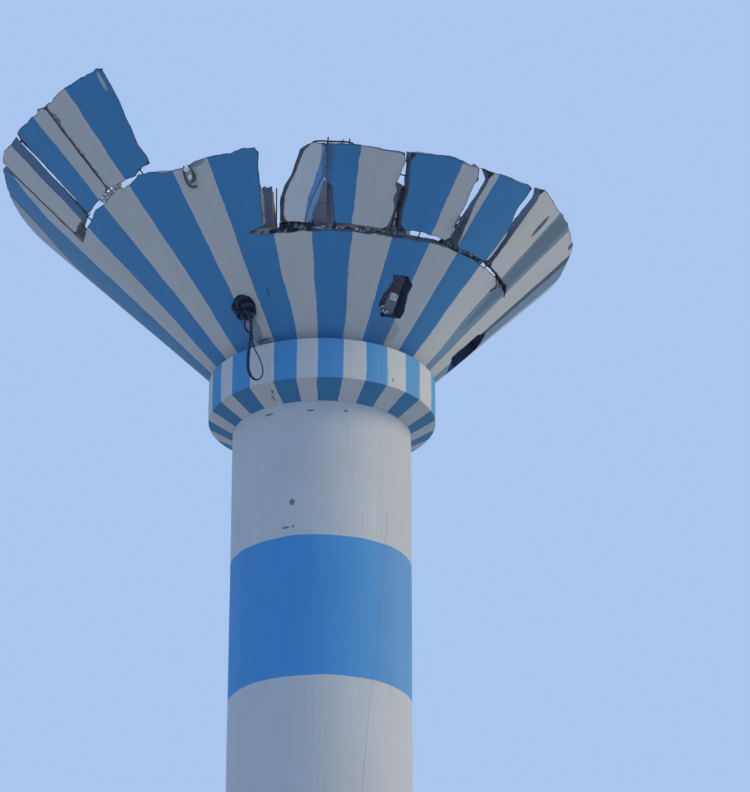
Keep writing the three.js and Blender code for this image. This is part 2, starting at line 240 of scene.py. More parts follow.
# To the right of the strap's exit, out from the axis, and up, in metres.
ROUTE = [
    (0.105, 0.018, 0.018), (0.105, 0.032, 0.004), (0.112, 0.046, -0.018), (0.127, 0.052, -0.060),
    (0.145, 0.049, -0.110), (0.158, 0.045, -0.165), (0.160, 0.045, -0.260), (0.156, 0.045, -0.374),
    (0.142, 0.045, -0.476), (0.127, 0.045, -0.575), (0.118, 0.045, -0.697), (0.122, 0.045, -0.798),
    (0.149, 0.045, -0.899), (0.203, 0.044, -0.980), (0.262, 0.038, -1.016), (0.312, 0.028, -1.000),
    (0.337, 0.018, -0.950), (0.334, 0.008, -0.880), (0.313, -0.001, -0.812), (0.284, -0.008, -0.739),
    (0.249, -0.011, -0.658), (0.207, -0.012, -0.583), (0.171, -0.012, -0.507), (0.152, -0.011, -0.423),
    (0.141, -0.010, -0.319), (0.130, -0.009, -0.215), (0.116, -0.002, -0.140), (0.098, 0.004, -0.095),
    (0.084, 0.005, -0.058), (0.080, -0.007, -0.035), (0.080, -0.021, -0.021),
]


def through(points, steps):
    """A smooth line through the points."""
    ends = [points[0] * 2 - points[1], *points, points[-1] * 2 - points[-2]]
    line = []
    for before, start, stop, after in zip(ends, ends[1:], ends[2:], ends[3:]):
        for i in range(steps):
            t = i / steps
            square = 2 * before - 5 * start + 4 * stop - after
            cube = 3 * start - before - 3 * stop + after
            line.append(start + (stop - before + square * t + cube * t * t) * t / 2)
    return line + [points[-1]]


def length_of(line):
    return sum((b - a).length for a, b in zip(line, line[1:]))


def add_piece(name, shape, finishes, slot, *nodes):
    """Turns a bmesh into a piece of the tower that stands for these CAD nodes."""
    bmesh.ops.recalc_face_normals(shape, faces=shape.faces)
    for edge in shape.edges:
        edge.smooth = len({face.smooth for face in edge.link_faces}) == 1
    mesh = bpy.data.meshes.new(name)
    shape.to_mesh(mesh)
    shape.free()
    for finish in finishes:
        mesh.materials.append(finish)
    piece = bpy.data.objects.new(name, mesh)
    bpy.context.collection.objects.link(piece)
    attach(piece, "root")
    if nodes:
        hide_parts(*nodes)
    return piece


def add_tube(shape, line, radius, sides=8, closed=False, flat=1.0, smooth=True, wide=None):
    """A round or flattened rod along a line of points, with closed ends. wide gives the way its
    wide side lies, from its direction and the share of its length."""
    rings = []
    side = Vector((0.31, 0.52, 0.79))
    count = len(line)
    for i, point in enumerate(line):
        before = line[i - 1] if i > 0 or closed else line[i]
        after = line[(i + 1) % count] if i < count - 1 or closed else line[i]
        along = (after - before).normalized()
        if wide:
            side = wide(along, i / (count - 1))
        side = (side - along * side.dot(along)).normalized()
        up = along.cross(side)
        ring = []
        for k in range(sides):
            turn = 2 * math.pi * k / sides
            off = math.cos(turn) * side + flat * math.sin(turn) * up
            ring.append(shape.verts.new(point + radius * off))
        rings.append(ring)
    spans = count if closed else count - 1
    for i in range(spans):
        here, there = rings[i], rings[(i + 1) % count]
        for k in range(sides):
            face = shape.faces.new((here[k], here[(k + 1) % sides], there[(k + 1) % sides], there[k]))
            face.smooth = smooth
    if not closed:
        shape.faces.new(rings[0])
        shape.faces.new(rings[-1])


def webbing_side(along, share):
    """The strap shows its wide side on the way down, and its edge on the way back up."""
    first, last = TURNS_OVER
    turn = math.pi / 2 * min(1, max(0, (share - first) / (last - first)))
    back = Vector((0, 1, 0))
    return math.cos(turn) * along.cross(back).normalized() + math.sin(turn) * back


hole_distance = slope_at(HOLE_R)
strap_exit = on_cone(HOLE_AZIMUTH, hole_distance - KNOT_DROP, -KNOT_OUT)
to_right = polar(HOLE_AZIMUTH + 90, 1, 0)
outwards = polar(HOLE_AZIMUTH, 1, 0)


def from_exit(route):
    """A smooth line in space along a route from the strap's exit."""
    steps = [right * to_right + out * outwards + Vector((0, 0, up)) for right, out, up in route]
    return through([strap_exit + step for step in steps], 5)


strap_line = from_exit(ROUTE)
strap_shape = bmesh.new()
add_tube(strap_shape, strap_line, STRAP_R, 12, flat=STRAP_FLAT, wide=webbing_side)

webbing, webbing_shader, webbing_place = new_finish("black_webbing")
weave_settings = {"Vector": webbing_place, "Scale": 28, "Distortion": 2}
weave = webbing_place.node("TexWave", {"bands_direction": "DIAGONAL"}, weave_settings)
dust = speckle(webbing_place, 9)
webbing_tone = shade(STRAP_TONE, 0.5 + weave * 0.4 + dust * 0.6)
plug(webbing_shader, Base_Color=webbing_tone, Roughness=0.65 + dust * 0.25, Normal=bump(weave, 0.004))
strap = add_piece("strap_loop", strap_shape, [webbing], "strap", "sling")
tuple(strap_line[0])
length_of(strap_line)
[tuple(point) for point in strap_line]

# The knot: five turns of the same strap pulled tight across the sling hole,
# with a short bight hanging out of it at the left.
KNOT_TURNS = 5
KNOT_R = 0.088
KNOT_WRAP = 0.058
KNOT_STRAND = 0.033
KNOT_PROUD = 0.045
KNOT_STEPS = 150
KNOT_CORE_R = 0.1
BIGHT = [
    (0.030, -0.040, 0.030), (0.036, 0.000, -0.020), (0.043, 0.020, -0.060), (0.050, 0.040, -0.126),
    (0.062, 0.050, -0.206), (0.087, 0.035, -0.262), (0.108, 0.005, -0.275), (0.112, -0.020, -0.225),
    (0.106, -0.025, -0.150), (0.095, -0.028, -0.070), (0.085, -0.040, 0.010),
]
BIGHT_R = 0.014
knot_middle = on_cone(HOLE_AZIMUTH, hole_distance, -KNOT_PROUD)
knot_up = (on_cone(HOLE_AZIMUTH, 1, 0) - on_cone(HOLE_AZIMUTH, 0, 0)).normalized()
knot_out = (on_cone(HOLE_AZIMUTH, 0, -1) - on_cone(HOLE_AZIMUTH, 0, 0)).normalized()
knot_line = []
for i in range(KNOT_STEPS):
    turn = 4 * math.pi * i / KNOT_STEPS
    reach = KNOT_R + KNOT_WRAP * math.cos(turn * KNOT_TURNS / 2)
    rise = KNOT_WRAP * math.sin(turn * KNOT_TURNS / 2)
    in_face = math.cos(turn) * to_right + 1.05 * math.sin(turn) * knot_up
    knot_line.append(knot_middle + reach * in_face + rise * knot_out)
knot_shape = bmesh.new()
add_tube(knot_shape, knot_line, KNOT_STRAND, closed=True, flat=0.7)
add_tube(knot_shape, [knot_middle - 0.05 * knot_out, knot_middle + 0.035 * knot_out], KNOT_CORE_R, 16)
add_tube(knot_shape, from_exit(BIGHT), BIGHT_R)
add_piece("strap_knot", knot_shape, [webbing], "strap", "sling_knot")

# The shaft: a round slip-formed concrete wall, 180 mm thick, cast in one climb
# of the form. It is painted outside in white and blue bands, and an opening for
# the door is left in its foot.
SHAFT_R = 1.2
SHAFT_WALL = 0.18
SHAFT_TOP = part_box("shaft_wall_2")[1][2]
DOOR_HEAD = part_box("shaft_wall_1")[0][2]
DOOR_HALF = 22.5
BAND = 1.91
BAND_TOP = 17.435
LIFT_HEIGHT = 0.24
SHAFT_PALE = (0.52, 0.545, 0.565)
SHAFT_BLUE = (0.058, 0.285, 0.62)
PAINTED_SHEEN = (0.6, 0.6, 0.6, 1)
RAW_CONCRETE = (0.17, 0.20, 0.26)
RAW_PALE = (0.25, 0.27, 0.32, 1)
RAW_DARK = (0.085, 0.085, 0.105, 1)
GRIME = (0.24, 0.25, 0.27, 1)
CHIPPED = (0.17, 0.18, 0.21, 1)
CRACK_TONE = (0.12, 0.13, 0.16, 1)
PITTED = (0.10, 0.10, 0.12, 1)


def azimuth_of(place):
    """Degrees round the tower's axis from the front, growing to the right."""
    parts = place.node("SeparateXYZ", None, {0: place})
    across = Wire(parts.socket.node.outputs["X"])
    back = Wire(parts.socket.node.outputs["Y"])
    return across.math("ARCTAN2", across, -back) * (180 / math.pi)


def height_of(place):
    return place.node("SeparateXYZ", None, {0: place}, 2)


def mark(azimuth, height, at, size, radius, rough=0.0):
    """1 inside a small oval at an azimuth and a height, of that width and height in metres."""
    across = (azimuth - at[0]) * (math.pi / 180 * radius * 2 / size[0])
    up = (height - at[1]) * (2 / size[1])
    return 1 - fade(across ** 2 + up ** 2 + rough, 0.7, 1.3)


def marked(tone, spot, marks, ragged, share, color):
    """The tone with these marks laid over it. spot holds the azimuth, height and radius."""
    azimuth, height, radius = spot
    for at, size in marks:
        tone = blend(mark(azimuth, height, at, size, radius, ragged) * share, tone, color)
    return tone


# Broken or sawn concrete: grey with a violet cast, darker aggregate and pale
# lime in it, and rust where the bars have bled. The violet-blue cast is painted
# shade: the sky-blue of the shade that most of it lies in.
raw, raw_shader, raw_place = new_finish("raw_concrete")
raw_stone = raw_place.node("TexVoronoi", {"feature": "F1"}, {"Vector": raw_place, "Scale": 34})
raw_grain = speckle(raw_place, 12, 8, 0.7)
raw_patch = speckle(raw_place, 2.3, 4)
raw_tone = shade(RAW_CONCRETE, 0.62 + raw_grain * 0.7 + fade(raw_stone, 0.0, 0.6, -0.12, 0.1))
raw_tone = blend(fade(raw_patch, 0.52, 0.72, 0, 0.55), raw_tone, RAW_PALE)
raw_tone = blend(fade(speckle(raw_place, 3.1, 3), 0.6, 0.75, 0, 0.5), raw_tone, RAW_DARK)
raw_relief = raw_grain * 0.7 + raw_stone * 0.5
plug(raw_shader, Base_Color=raw_tone, Roughness=0.85 + raw_grain * 0.12, Normal=bump(raw_relief, 0.02))


def painted(place, blue_share, pale, blue, azimuth, height):
    """Masonry paint on concrete: blue where blue_share is 1, faded, streaked and chipped, and darker at
    broken edges: broken concrete with painted shade.
    """
    broad = speckle(place, 0.8, 3)
    streak_place = azimuth.node("CombineXYZ", None, {0: azimuth * 0.55, 1: height * 0.55})
    streak = speckle(streak_place, 1.0, 5, 0.62)
    fine = speckle(place, 26, 6, 0.65)
    tone = blend(blue_share, (*pale, 1), (*blue, 1))
    tone = shade(tone, 0.80 + broad * 0.16 + streak * 0.20 + fine * 0.06)
    grime = fade(streak, 0.58, 0.80, 0, 0.28)
    tone = blend(grime, tone, GRIME)
    broken = place.node("Attribute", {"attribute_name": "broken"}, None, 2)
    chip = (broken + speckle(place, 9, 5, 0.7) * 0.22) > 1.10
    tone = blend(chip, tone, CHIPPED)
    # Within about 2 cm of a broken edge the paint is darker: the dark of broken concrete, with painted shade
    # along the gaps.
    tone = shade(tone, fade(broken, 0.93, 1.0, 1, 0.2))
    relief = fine * 0.5 + streak * 0.6 - chip * 0.35
    rough = 0.62 + fine * 0.2 + chip * 0.2
    return tone, relief, rough


shaft_paint, shaft_shader, shaft_place = new_finish("shaft_paint")
shaft_azimuth = azimuth_of(shaft_place)
shaft_up = height_of(shaft_place)
shaft_edge = shaft_up + speckle(times(shaft_place, 1.6, 1.6, 0.4), 1.0, 5) * 0.05
shaft_wave = (BAND_TOP - shaft_edge) / (2 * BAND)
shaft_blue = shaft_wave.math("FRACT", shaft_wave) < 0.5
shaft_blue = shaft_blue * (shaft_edge < BAND_TOP)
shaft_tone, shaft_relief, shaft_rough = painted(
    shaft_place, shaft_blue, SHAFT_PALE, SHAFT_BLUE, shaft_azimuth, shaft_up)


def right_side(azimuth, first, last):
    """0 left of first and 1 right of last, and back to 0 on the side that faces away."""
    return fade(azimuth, first, last) - fade(azimuth, 125, 170)


# The shaft's right side, towards the lamp, is painted whiter: a painted sheen.
shaft_tone = blend(right_side(shaft_azimuth, 30, 65) * 0.12, shaft_tone, PAINTED_SHEEN)
# A painted shade step: right of about 37 degrees and above 15.5 m, where the shaft's light turns, it is
# painted 4% darker.
SHADE_STEP_FROM = (37.0, 37.2)
SHADE_STEP_ABOVE = 15.5
shade_step = right_side(shaft_azimuth, *SHADE_STEP_FROM) * (shaft_up > SHADE_STEP_ABOVE)
shaft_tone = shade(shaft_tone, 1 - shade_step * 0.04)
# The fine crack up the right side, by its heights and azimuths.
SHAFT_CRACK = [(14.02, 26.4), (15.22, 31.8), (16.06, 37.8), (17.18, 42.8), (17.88, 46.4)]
CRACK_HALF = 0.18
crack_at = SHAFT_CRACK[0][1]
for (low, start), (high, end) in zip(SHAFT_CRACK, SHAFT_CRACK[1:]):
    crack_at = crack_at + shaft_up.node("MapRange", None, {
        "Value": shaft_up, "From Min": low, "From Max": high, "To Min": 0, "To Max": end - start})
crack_off = shaft_azimuth - crack_at + speckle(shaft_place, 6, 4) * 1.6 - 0.8
crack = (crack_off > -CRACK_HALF) * (crack_off < CRACK_HALF)
crack = crack * (shaft_up > SHAFT_CRACK[0][0]) * (shaft_up < SHAFT_CRACK[-1][0])
shaft_tone = blend(crack * 0.5, shaft_tone, CRACK_TONE)
SHAFT_MARKS = [
    ((-35.7, 19.19), (0.15, 0.028)), ((-18.5, 17.88), (0.075, 0.085)), ((-22.6, 17.535), (0.10, 0.035)),
    ((-17.7, 17.54), (0.035, 0.03)), ((-7.2, 19.16), (0.10, 0.03)), ((15, 19.17), (0.06, 0.03)),
]
shaft_spot = (shaft_azimuth, shaft_up, SHAFT_R)
shaft_ragged = speckle(shaft_place, 30, 3) * 0.8 - 0.4
shaft_tone = marked(shaft_tone, shaft_spot, SHAFT_MARKS, shaft_ragged, 0.8, PITTED)
shaft_lifts = shaft_up / LIFT_HEIGHT
lift_line = shaft_lifts.math("PINGPONG", shaft_lifts, 0.5)
shaft_relief = shaft_relief + fade(lift_line, 0.0, 0.08) * 0.12
plug(shaft_shader, Base_Color=shaft_tone, Roughness=shaft_rough, Normal=bump(shaft_relief, 0.006))


def wall_grid(columns, rows, outer, inner, keep=None):
    """A wall right round the axis, from a grid of azimuths and heights, without the cells that
    keep turns down. outer and inner give the points of its two faces."""
    shape = bmesh.new()
    faces = [[[shape.verts.new(side(a, z)) for z in rows] for a in columns] for side in (outer, inner)]
    wide, tall = len(columns), len(rows) - 1

    def kept(i, j):
        return 0 <= j < tall and (keep is None or keep(columns[i % wide], rows[j]))

    def edge_face(a, b):
        (i, j), (k, m) = a, b
        i, k = i % wide, k % wide
        face = shape.faces.new((faces[0][i][j], faces[0][k][m], faces[1][k][m], faces[1][i][j]))
        face.material_index = 1

    for i in range(wide):
        right = (i + 1) % wide
        for j in range(tall):
            if not kept(i, j):
                continue
            for side in (0, 1):
                grid = faces[side]
                face = shape.faces.new((grid[i][j], grid[right][j], grid[right][j + 1], grid[i][j + 1]))
                face.material_index = side
                face.smooth = True
            if not kept(i - 1, j):
                edge_face((i, j), (i, j + 1))
            if not kept(i + 1, j):
                edge_face((i + 1, j), (i + 1, j + 1))
            if not kept(i, j - 1):
                edge_face((i, j), (i + 1, j))
            if not kept(i, j + 1):
                edge_face((i, j + 1), (i + 1, j + 1))
    bmesh.ops.delete(shape, geom=[v for v in shape.verts if not v.link_faces], context="VERTS")
    return shape


SHAFT_COLUMNS = 144
SHAFT_ROWS = 74
shaft_columns = [-DOOR_HALF + 360 / SHAFT_COLUMNS * i for i in range(SHAFT_COLUMNS)]
above_door = (SHAFT_TOP - DOOR_HEAD) / SHAFT_ROWS
shaft_rows = [0, DOOR_HEAD] + [DOOR_HEAD + above_door * i for i in range(1, SHAFT_ROWS + 1)]


def shaft_face(radius, swell):
    """One face of the shaft, which swells and sinks by this much as the form climbed."""
    def point(azimuth, z):
        wave = noise.noise(polar(azimuth, 1.5, z * 1.3)) + 0.5 * noise.noise(polar(azimuth, 5, z * 3))
        return polar(azimuth, radius + swell * wave, z)
    return point


shaft_shape = wall_grid(
    shaft_columns, shaft_rows, shaft_face(SHAFT_R - 0.001, 0.003), shaft_face(SHAFT_R - SHAFT_WALL, 0.0),
    lambda azimuth, z: z > 0 or azimuth > DOOR_HALF - 1)
add_piece("shaft", shaft_shape, [shaft_paint, raw], "shaft_paint", *[f"shaft_wall_{i}" for i in range(1, 9)])

# The ground floor slab and the door: a cast slab with a sill, a frame welded
# from steel angle, and a leaf of folded sheet with two pressed panels. They
# keep their CAD shapes, and small ironwork is added to the leaf.
DOOR_TONE = (0.10, 0.16, 0.22)
DOOR_RUST = (0.16, 0.07, 0.035, 1)
PANEL_RIM = 0.11
RAIL_HALF = 0.05
HINGE_R = 0.011
HINGE_HALF = 0.06
LOCK_IN = 0.06
LOCK_HALF_WIDE = 0.022
LOCK_HALF_TALL = 0.11
LEVER_R = 0.009
LEVER_UP = 0.04
LEVER_LONG = 0.12


def refinish(node, finish):
    """Gives a better material to a CAD piece that stays."""
    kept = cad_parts[node].data.materials
    kept.clear()
    kept.append(finish)


refinish("ground_floor", raw)
steel_paint, steel_shader, steel_place = new_finish("door_paint")
steel_grain = speckle(steel_place, 30, 6)
steel_wear = fade(speckle(steel_place, 5, 6, 0.7), 0.56, 0.66)
steel_tone = blend(steel_wear, shade(DOOR_TONE, 0.8 + steel_grain * 0.4), DOOR_RUST)
steel_relief = bump(steel_grain + steel_wear, 0.002)
plug(steel_shader, Base_Color=steel_tone, Roughness=0.45 + steel_wear * 0.35, Normal=steel_relief)
refinish("door_frame", steel_paint)
refinish("door_leaf", steel_paint)


def add_block(shape, low, high, edge=0.004):
    """A box with its edges taken off."""
    made = bmesh.ops.create_cube(shape, size=1)["verts"]
    for vert in made:
        vert.co = Vector([a + (b - a) * (c + 0.5) for a, b, c in zip(low, high, vert.co)])
    edges = list(dict.fromkeys(e for v in made for e in v.link_edges))
    bmesh.ops.bevel(shape, geom=edges, offset=edge, segments=2, affect="EDGES")


(left, front, foot), (right, _, top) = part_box("door_leaf")
middle = (foot + top) / 2
ironwork = bmesh.new()
for low, high in ((foot + PANEL_RIM, middle - RAIL_HALF), (middle + RAIL_HALF, top - PANEL_RIM)):
    add_block(ironwork, (left + PANEL_RIM, front - 0.008, low), (right - PANEL_RIM, front + 0.004, high))
for share in (0.12, 0.5, 0.88):
    z = foot + share * (top - foot)
    hinge = [Vector((left + 0.012, front - 0.008, z + HINGE_HALF * side)) for side in (-1, 1)]
    add_tube(ironwork, hinge, HINGE_R, 12)
lock_x = right - LOCK_IN
add_block(ironwork, (lock_x - LOCK_HALF_WIDE, front - 0.006, middle - LOCK_HALF_TALL),
          (lock_x + LOCK_HALF_WIDE, front + 0.003, middle + LOCK_HALF_TALL), 0.002)
LEVER = [(0, 0), (0, -0.045), (-LEVER_LONG, -0.05)]
lever = [Vector((lock_x + across, front + out, middle + LEVER_UP)) for across, out in LEVER]
add_tube(ironwork, lever, LEVER_R, 10)
add_piece("door_ironwork", ironwork, [steel_paint], "door_paint")

# The ring beam: a concrete collar cast round the shaft's head, with a sloping
# soffit. It carries the cone, and it is painted in upright stripes by hand.
RING_R = 1.532
RING_SOFFIT = 19.3
RING_LIP = 19.49
RING_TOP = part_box("support_ring")[1][2]
RING_EDGES = [-61.5, -51, -38.6, -24.6, -12.7, -2.3, 10.4, 22.1, 34, 46, 57.7, 72.3]
STRIPE = 12.0
RING_PALE = (0.545, 0.56, 0.57)
RING_BLUE = (0.062, 0.28, 0.57)
RING_SHEEN = (1.29, 1.13, 1.02)
JOINT_AND_SHADE_TONE = (0.06, 0.07, 0.09, 1)
RING_COLUMNS = 180


def stripes(azimuth, low_edges, high_edges, rise, first_blue, wobble):
    """1 in the blue stripes. The edges are their limits in degrees, from left to right, which
    pass from low_edges to high_edges as rise goes from 0 to 1. Even stripes fill the far side."""
    unseen = low_edges[0] + 360 - low_edges[-1]
    odd = (len(low_edges) + 1) % 2
    count = 2 * round((unseen / STRIPE - odd) / 2) + odd
    around = [low_edges[-1] + unseen * i / count for i in range(1, count)]
    before = [edge - 360 for edge in around if edge > 180]
    after = [edge for edge in around if edge <= 180]
    blue = first_blue if len(before) % 2 == 0 else not first_blue
    strayed = azimuth + wobble
    share = float(blue)
    pairs = [(e, e) for e in before] + list(zip(low_edges, high_edges)) + [(e, e) for e in after]
    for low, high in pairs:
        limit = low if low == high else rise * (high - low) + low
        share = (strayed > limit) * (-1 if blue else 1) + share
        blue = not blue
    return share


ring_paint, ring_shader, ring_place = new_finish("ring_paint")
ring_azimuth = azimuth_of(ring_place)
ring_up = height_of(ring_place)
ring_soffit = ring_up < RING_LIP
ring_wobble = speckle(ring_place, 4.5, 3) * 1.4 - 0.7 + ring_soffit * 0.5
ring_blue = stripes(ring_azimuth, RING_EDGES, RING_EDGES, None, True, ring_wobble)
ring_tone, ring_relief, ring_rough = painted(
    ring_place, ring_blue, RING_PALE, RING_BLUE, ring_azimuth, ring_up)
# The blue on the soffit, which faces down, is painted 26% darker: painted shade.
ring_tone = shade(ring_tone, 1 - ring_soffit * ring_blue * 0.26)
# The blue on the right side, towards the lamp, is painted lighter: a painted sheen.
ring_tone = blend(right_side(ring_azimuth, 20, 40) * ring_blue, ring_tone, times(ring_tone, *RING_SHEEN))
RING_MARKS = [((-29.5, 19.36), (0.03, 0.07)), ((-28, 19.41), (0.05, 0.03)), ((37.4, 19.596), (0.03, 0.055))]
ring_ragged = speckle(ring_place, 30, 3) * 0.8 - 0.4
ring_tone = marked(ring_tone, (ring_azimuth, ring_up, RING_R), RING_MARKS, ring_ragged, 0.7, PITTED)
# The ring's top edge, in the crease under the cone, is painted dark: the joint, with painted shade.
joint_line = fade(ring_up, RING_TOP - 0.018, RING_TOP - 0.004)
ring_tone = blend(joint_line * 0.7, ring_tone, JOINT_AND_SHADE_TONE)
plug(ring_shader, Base_Color=ring_tone, Roughness=ring_rough, Normal=bump(ring_relief, 0.007))

RING_PROFILE = [
    (SHAFT_R + 0.001, RING_SOFFIT), (RING_R - 0.012, RING_LIP - 0.007), (RING_R - 0.002, RING_LIP + 0.004),
    (RING_R, RING_LIP + 0.2), (RING_R, RING_TOP - 0.012), (RING_R - 0.012, RING_TOP),
    (SHAFT_R + 0.001, RING_TOP),
]
RING_SMOOTH = (0, 2, 3)
ring_shape = bmesh.new()
ring_loops = []
for i in range(RING_COLUMNS):
    azimuth = i * 360 / RING_COLUMNS
    loop = []
    for radius, z in RING_PROFILE:
        wave = 0.003 * noise.noise(polar(azimuth, 4, z * 5)) if radius > SHAFT_R + 0.001 else 0.0
        loop.append(ring_shape.verts.new(polar(azimuth, radius + wave, z)))
    ring_loops.append(loop)
for here, there in zip(ring_loops, ring_loops[1:] + ring_loops[:1]):
    for k in range(len(RING_PROFILE)):
        m = (k + 1) % len(RING_PROFILE)
        face = ring_shape.faces.new((here[k], there[k], there[m], here[m]))
        face.smooth = k in RING_SMOOTH
add_piece("ring_beam", ring_shape, [ring_paint], "ring_paint", "support_ring")

# The stub of the shaft that ran up through the tank as its access tube. Its
# head is broken off on all sides, and lower in a slot at the front left. Below
# about 22 m its outer face is painted dark navy: painted shade inside the tank.
STUB_TOP = 22.57
STUB_SLOT = (-36, -13)
SLOT_INSIDE = (-41, -13)
SLOT_FLOOR = 21.7
STUB_RAGGED = 0.07
STUB_PROUD = 0.05
STUB_TONE = (0.15, 0.16, 0.20)
STUB_STAINED = (0.20, 0.19, 0.225, 1)
STUB_SHADE_ENDS = (21.75, 22.05)
STUB_SHADE_TONE = (0.010, 0.015, 0.070, 1)
CAST_HEIGHT = 0.3
STUB_COLUMNS = 180
STUB_ROWS = 24
stub_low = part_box("inner_tube_1")[0][2]


def stub_head(azimuth, slot):
    """How high the broken head is here. It is a little higher just left of the slot."""
    here = polar(azimuth, 3, 0)
    rough = noise.noise(here * 2) + 0.8 * noise.noise(here * 6)
    proud = STUB_PROUD if -45 <= azimuth <= -35 else 0
    return (SLOT_FLOOR if slot[0] < azimuth < slot[1] else STUB_TOP + proud) + STUB_RAGGED * rough


def stub_face(radius, fall, slot):
    """One face of the stub, whose head lies this much lower."""
    def point(azimuth, share):
        head = stub_head(azimuth, slot) - fall
        wave = 0.012 * noise.noise(polar(azimuth, 6, share * 12)) * share
        return polar(azimuth, radius + wave, stub_low + (head - stub_low) * share)
    return point


stub_shape = wall_grid(
    [-180 + 360 / STUB_COLUMNS * i for i in range(STUB_COLUMNS)],
    [i / STUB_ROWS for i in range(STUB_ROWS + 1)],
    stub_face(SHAFT_R, 0, STUB_SLOT), stub_face(SHAFT_R - SHAFT_WALL, 0.02, SLOT_INSIDE))
stub_finish, stub_shader, stub_place = new_finish("stub_concrete")
stub_grain = speckle(stub_place, 9, 8, 0.7)
stub_stain = speckle(times(stub_place, 3, 3, 0.5), 1.0, 5)
stub_tone = blend(stub_stain, shade(STUB_TONE, 0.7 + stub_grain * 0.6), STUB_STAINED)
# Below about 22 m the stub is painted dark navy: painted shade inside the tank.
stub_tone = blend(fade(height_of(stub_place), *STUB_SHADE_ENDS), STUB_SHADE_TONE, stub_tone)
stub_lift = height_of(stub_place) / CAST_HEIGHT
stub_line = fade(stub_lift.math("PINGPONG", stub_lift, 0.5), 0, 0.05)
stub_relief = bump(stub_grain + stub_line * 0.3, 0.012)
plug(stub_shader, Base_Color=stub_tone, Roughness=0.8 + stub_grain * 0.15, Normal=stub_relief)
stub_nodes = [f"inner_tube_{i}" for i in range(1, 5)]
add_piece("stub", stub_shape, [stub_finish, stub_finish], "raw_concrete", *stub_nodes)

# The cone wall below the cuts: concrete cast in place at 45 degrees, 230 mm
# thick at the foot and 140 mm at the rim, and painted in stripes that widen
# upwards. Each piece is drawn in the cone's unrolled sheet and then rolled up.
RIM_R = 4.37
FOOT_T = 0.23
RIM_T = 0.14
KNEE_R = 1.201
FACE_STEP = 0.09
BROKEN_STEP = 0.045
LAYERS = (0, 0.27, 0.52, 0.78, 1)
CHIP_REACH = 0.25
UNROLLED = math.sin(math.radians(45))
EDGES_TURN = (20.25, 20.85)
LOW_EDGES = [
    -113, -89.8, -77.3, -64, -52.8, -38.8, -27.2, -13.8, -2.6, 11, 22, 34.7, 45.8, 58, 73.4, 80.5, 93.5,
]
HIGH_EDGES = [
    -113, -89, -75.5, -63.3, -51.5, -37.8, -27.8, -15.4, -3.4, 9, 21.6, 34.3, 45.6, 57, 70.1, 79.6, 92.6,
]


def wall_depth(distance):
    """The wall's thickness this far up the slope."""
    return FOOT_T + (RIM_T - FOOT_T) * distance / slope_at(RIM_R)


def unroll(azimuth, radius):
    """The spot on the flat sheet."""
    turn = math.radians(azimuth) * UNROLLED
    return Vector((math.sin(turn), math.cos(turn))) * radius / SLOPE


def roll_up(spot, share, lift, swell=0.0):
    """The point in space for a spot on the sheet, at a share of the wall's thickness."""
    azimuth = math.degrees(math.atan2(spot[0], spot[1])) / UNROLLED
    distance = slope_at(math.hypot(*spot) * SLOPE)
    depth = min(wall_depth(distance), max(distance, 0) + (FOOT_R - KNEE_R) / SLOPE)
    return on_cone(azimuth, distance, share * depth - lift(azimuth, distance) - swell)


def outline(corners, share, seed, plain):
    """The points of an outline at one depth, and how rough the edge is at each. A corner is its
    azimuth, radius, how rough the edge after it is, and its place on the inner face if it differs.
    plain is how rough it is where a corner doesn't say."""
    shifted = []
    for azimuth, radius, *more in corners:
        rough, *inner = more or (plain,)
        inner = inner or (azimuth, radius)
        shifted.append((azimuth + (inner[0] - azimuth) * share, radius + (inner[1] - radius) * share, rough))
    points = []
    for i, (azimuth, radius, rough) in enumerate(shifted):
        after = shifted[(i + 1) % len(shifted)]
        first, last = unroll(*corners[i][:2]), unroll(*corners[(i + 1) % len(corners)][:2])
        count = max(1, round((last - first).length / (BROKEN_STEP if rough else FACE_STEP)))
        for k in range(count):
            t = k / count
            at_corner = min(rough, shifted[i - 1][2]) if k == 0 else rough
            spot = unroll(azimuth + (after[0] - azimuth) * t, radius + (after[1] - radius) * t)
            points.append((spot, at_corner))
    moved = []
    for i, (point, rough) in enumerate(points):
        if rough:
            along = (points[(i + 1) % len(points)][0] - points[i - 1][0]).normalized()
            where = Vector((*point, share * 0.16)) + Vector((seed, seed * 2.7, 0))
            stray = 1.5 * noise.noise(where * 4.5) + noise.noise(where * 13) + 0.5 * noise.noise(where * 31)
            point = point + Vector((-along.y, along.x)) * rough * stray
        moved.append((point, rough))
    return moved


def inside(spots, ring):
    """For each spot, whether it lies inside the ring."""
    odd = np.zeros(len(spots), bool)
    x, y = spots[:, 0], spots[:, 1]
    for (ax, ay), (bx, by) in zip(ring, np.roll(ring, -1, axis=0)):
        if ay == by:
            continue
        crosses = (ay > y) != (by > y)
        odd ^= crosses & (x < ax + (bx - ax) * (y - ay) / (by - ay))
    return odd


